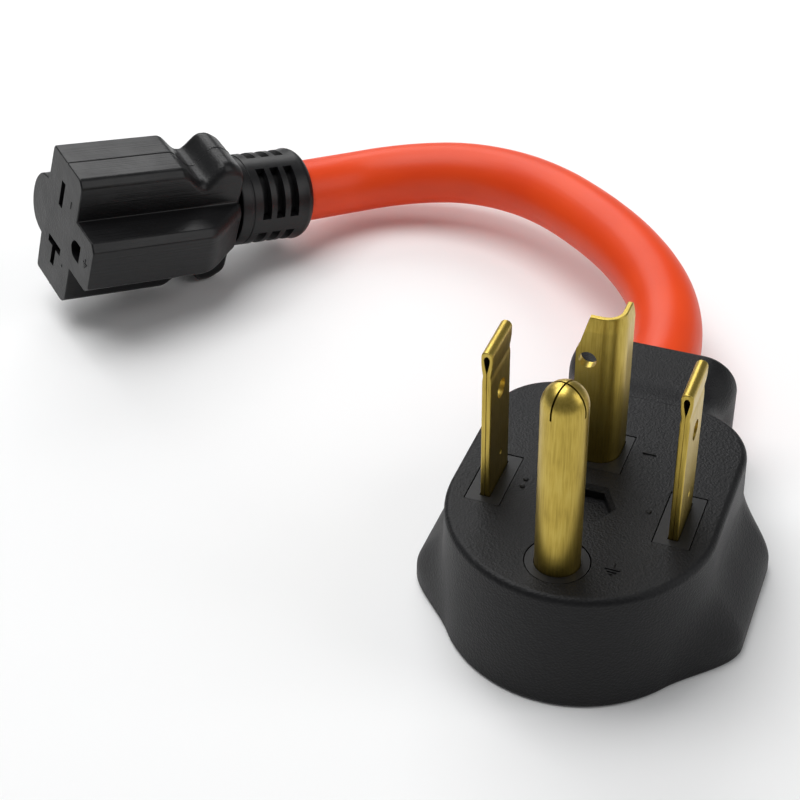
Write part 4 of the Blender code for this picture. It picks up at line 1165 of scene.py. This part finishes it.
def slot_outlines():
    """The straight slot, the T and the U-shaped earth slot, as outlines on the connector's face."""
    half = SLOT_WIDTH / 2
    reach = SLOT_LENGTH / 2
    straight = rectangle(-half, half, -SLOT_CENTRE - reach, -SLOT_CENTRE + reach)
    bar0, bar1 = TEE_BAR
    foot = SLOT_CENTRE + reach
    tee = np.array([(-reach, bar0), (reach, bar0), (reach, bar1), (half, bar1), (half, foot), (-half, foot),
                    (-half, bar1), (-reach, bar1)])
    near, far, wide = GROUND_SLOT
    ground = np.vstack([[(far, -wide), (far, wide)], arc((near + wide, 0), wide, 90, 270, 25)])
    return straight, tee, ground


def connector_housing_shape(ridge):
    """Sections from face to neck, less a pocket of the same sections drawn in, the bore and the slots."""
    matrix = connector_matrix()
    ends = quarter_round(1.4, 6)
    stations = [(0.0, 0.32), (0.1, 0.14), (0.32, 0.0), (14.0, 0.0), (BODY_FRONT - 1, 0.0)]
    stations += [(d, 0.0) for d in np.linspace(BODY_FRONT, BODY_LENGTH - 1.6, 46)]
    stations += [(BODY_LENGTH - drop, inset) for inset, drop in ends]
    housing = ring_mesh("connector_housing_fine", body_rings(stations, ridge), matrix=matrix)
    depths = np.concatenate([[FACE_PLATE], np.linspace(BODY_FRONT, BODY_LENGTH - 4.5, 16)])
    tools = [ring_mesh("pocket", body_rings([(d, BODY_WALL) for d in depths]), matrix=matrix)]
    bore = circle(RELIEF_OFFSET, CABLE_RADIUS + GAP, 64)
    tools.append(prism("bore", bore, BODY_LENGTH - 6, BODY_LENGTH + 1, matrix=matrix))
    for outline in slot_outlines():
        tools.append(prism("slot", outline, -1, FACE_PLATE + 1, matrix=matrix))
    return combine(housing, tools)


def strain_relief_shape():
    """A turned cuff with a groove at its neck, a rounded end and three windows on each quarter."""
    matrix = connector_matrix()
    start = BODY_LENGTH + GAP
    outer = RELIEF_RADIUS
    bore = CABLE_RADIUS + GAP
    profile = [(bore, start), (outer - 0.5, start), (outer - 0.15, start + 0.15), (outer, start + 0.5),
               (outer, start + 3.1), (outer - 0.22, start + 3.3), (outer - 0.22, start + 3.6),
               (outer, start + 3.8), (outer, RELIEF_END - RELIEF_ROUND - 1)]
    profile += [(outer + 0.25 - inset, RELIEF_END - drop) for inset, drop in quarter_round(RELIEF_ROUND, 10)]
    profile += [(bore + 0.3, RELIEF_END), (bore, RELIEF_END - 0.3)]
    relief = lathe("strain_relief_fine", profile, RELIEF_OFFSET, 144, wrap=True, matrix=matrix)
    tools = []
    floor = RELIEF_RADIUS - WINDOW_DEPTH
    for quarter in range(4):
        middle = WINDOW_TURN + 90 * quarter
        a0, a1 = middle - WINDOW_HALF_ANGLE, middle + WINDOW_HALF_ANGLE
        inside = arc(RELIEF_OFFSET, floor, a0, a1, 19)
        outline = np.vstack([inside, arc(RELIEF_OFFSET, outer + 2, a1, a0, 19)])
        for row in range(WINDOW_ROWS):
            z = WINDOW_START + row * WINDOW_PITCH
            tools.append(prism("rib window", outline, z, z + WINDOW_WIDTH, matrix=matrix))
    return combine(relief, tools)


class ADAPTER_OT_connector(bpy.types.Operator):
    """Model the connector's moulded body, its strain relief and the marks on its face"""

    bl_idname = "adapter.connector"
    bl_label = "Connector"

    def execute(self, context):
        settings = context.scene.adapter_connector
        look = satin_vinyl("milled-tool black vinyl", settings.colour, "#0A0A0B", 0.5)
        housing = connector_housing_shape(settings.parting_line)
        settle(housing, look, "connector", ["connector_housing"], sharp=38)
        plain = satin_vinyl("satin black vinyl", settings.colour, "#0A0A0B")
        relief = strain_relief_shape()
        settle(relief, plain, "connector", ["strain_relief"],
               rounding=settings.window_round)
        matrix = connector_matrix() @ Matrix.Rotation(math.pi, 4, "X")
        marks = earth_symbol(17.2, 0.0, 2.4, SLOT_MARK_HEIGHT, 0.0)
        marks.append(raised_pill((5.4, -9.5), 0.9, 0.9, 0, SLOT_MARK_HEIGHT, 0.0))
        marks.append(raised_pill((5.4, 9.5), 2.2, 0.5, 90, SLOT_MARK_HEIGHT, 0.0))
        settle(joined_rings("slot_marks", marks, matrix), plain, "connector")
        return {"FINISHED"}


class ADAPTER_OT_inner_parts(bpy.types.Operator):
    """Finish the bridge that holds the blades, and the carrier and contacts behind the slots"""

    bl_idname = "adapter.inner_parts"
    bl_label = "Inner parts"

    def execute(self, context):
        nodes = frame["nodes"]
        brass = bpy.data.materials["stamped brass"]
        finishes = {
            "blade_bridge": moulded_phenolic("grey rigid moulding", "#131315", "#0D0D0F"),
            "contact_carrier": moulded_phenolic("brown phenolic", "#5A3A22", "#3F2716"),
            "straight_slot_contact": brass,
            "tee_slot_contact": brass,
            "ground_slot_contact": brass,
        }
        for name, look in finishes.items():
            mesh = nodes[name].data
            mesh.materials.clear()
            mesh.materials.append(look)
        return {"FINISHED"}


# ---------------------------------------------------------------- declaring and staging


def declare_cord():
    """Works out the jacket's centreline from the plug's boot to the connector, at its whole length, and the
    point where it leaves the plug, in metres; nothing is done with them.
    """
    centres = cable_centres(FINE_STEP) * MM
    exit_point = np.array(CABLE_ROUTE[0]) * MM


def soft_lamp(name, place, target, size, watts):
    """A white rectangular lamp that faces its target."""
    lamp = bpy.data.lights.new(name, "AREA")
    lamp.shape = "RECTANGLE"
    lamp.size, lamp.size_y = size
    lamp.energy = watts
    obj = bpy.data.objects.new(name, lamp)
    bpy.context.scene.collection.objects.link(obj)
    obj.location = place
    obj.rotation_euler = (Vector(target) - Vector(place)).to_track_quat("-Z", "Y").to_euler()


class ADAPTER_OT_stage(bpy.types.Operator):
    """Set up the pale floor, the soft studio light and the camera"""

    bl_idname = "adapter.stage"
    bl_label = "Stage"

    def execute(self, context):
        settings = context.scene.adapter_stage
        scene = context.scene
        scene.view_settings.view_transform = "Standard"
        mesh = bpy.data.meshes.new("floor")
        side = 3.0
        corners = [(*corner, 0) for corner in rectangle(-side, side, -side, side).tolist()]
        mesh.from_pydata(corners, [], [(0, 1, 2, 3)])
        floor = bpy.data.objects.new("floor", mesh)
        scene.collection.objects.link(floor)
        look, _, shader, _ = new_look("white card")
        shader.inputs["Base Color"].default_value = linear(settings.floor)
        shader.inputs["Roughness"].default_value = 0.9
        shader.inputs["Specular IOR Level"].default_value = 0.1
        mesh.materials.append(look)
        floor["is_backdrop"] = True
        world = bpy.data.worlds.new("studio") if scene.world is None else scene.world
        scene.world = world
        world.use_nodes = True
        back = world.node_tree.nodes["Background"]
        back.inputs["Color"].default_value = linear("#F2F4F6")
        back.inputs["Strength"].default_value = 0.22
        middle = (-0.04, 0.06, 0.02)
        soft_lamp("key", (-0.35, 0.1, 1.0), middle, (0.8, 0.8), 8.5)
        soft_lamp("side", (0.85, 0.15, 0.55), middle, (0.5, 0.8), 2.6)
        soft_lamp("back", (-0.55, 0.85, 0.65), middle, (0.9, 0.45), 4.5)
        camera = bpy.data.cameras.new("camera")
        camera.lens = settings.lens
        camera.sensor_width = 36.0
        camera.clip_start = 0.01
        view = bpy.data.objects.new("camera", camera)
        scene.collection.objects.link(view)
        view.location = settings.camera
        turn = Matrix.Rotation(math.radians(CAMERA_HEADING), 3, "Z")
        turn = turn @ Matrix.Rotation(math.radians(90 - CAMERA_DROP), 3, "X")
        turn = turn @ Matrix.Rotation(math.radians(CAMERA_ROLL), 3, "Z")
        view.rotation_euler = turn.to_euler()
        scene.camera = view
        return {"FINISHED"}


class ADAPTER_PT_panel(bpy.types.Panel):
    """Lists the adapter's settings and steps"""

    bl_label = "Dogbone power adapter"
    bl_idname = "ADAPTER_PT_panel"
    bl_space_type = "VIEW_3D"
    bl_region_type = "UI"
    bl_category = "Adapter"

    def draw(self, context):
        for group, operators in STEPS:
            box = self.layout.box()
            settings = getattr(context.scene, group)
            for key in settings.bl_rna.properties.keys():
                if key not in ("rna_type", "name"):
                    box.prop(settings, key)
            for operator in operators:
                box.operator(operator)


GROUPS = {
    "adapter_plug": PlugSettings,
    "adapter_blades": BladeSettings,
    "adapter_cable": CableSettings,
    "adapter_connector": ConnectorSettings,
    "adapter_stage": StageSettings,
}
STEPS = (
    ("adapter_plug", ("adapter.plug_housing",)),
    ("adapter_blades", ("adapter.blades", "adapter.inner_parts")),
    ("adapter_cable", ("adapter.cable",)),
    ("adapter_connector", ("adapter.connector",)),
    ("adapter_stage", ("adapter.stage",)),
)
CLASSES = (
    *GROUPS.values(),
    ADAPTER_OT_plug_housing,
    ADAPTER_OT_blades,
    ADAPTER_OT_inner_parts,
    ADAPTER_OT_cable,
    ADAPTER_OT_connector,
    ADAPTER_OT_stage,
    ADAPTER_PT_panel,
)


def register():
    for cls in CLASSES:
        bpy.utils.register_class(cls)
    for name, group in GROUPS.items():
        setattr(bpy.types.Scene, name, PointerProperty(type=group))


def unregister():
    for name in GROUPS:
        delattr(bpy.types.Scene, name)
    for cls in reversed(CLASSES):
        bpy.utils.unregister_class(cls)


def main():
    register()
    for _, operators in STEPS:
        for operator in operators:
            family, step = operator.split(".")
            getattr(getattr(bpy.ops, family), step)()
    declare_cord()
    boxes = {"cad": CAD_BOX, "visual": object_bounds()}
    {name: np.array(box, float).tolist() for name, box in boxes.items()}


if __name__ == "__main__":
    main()
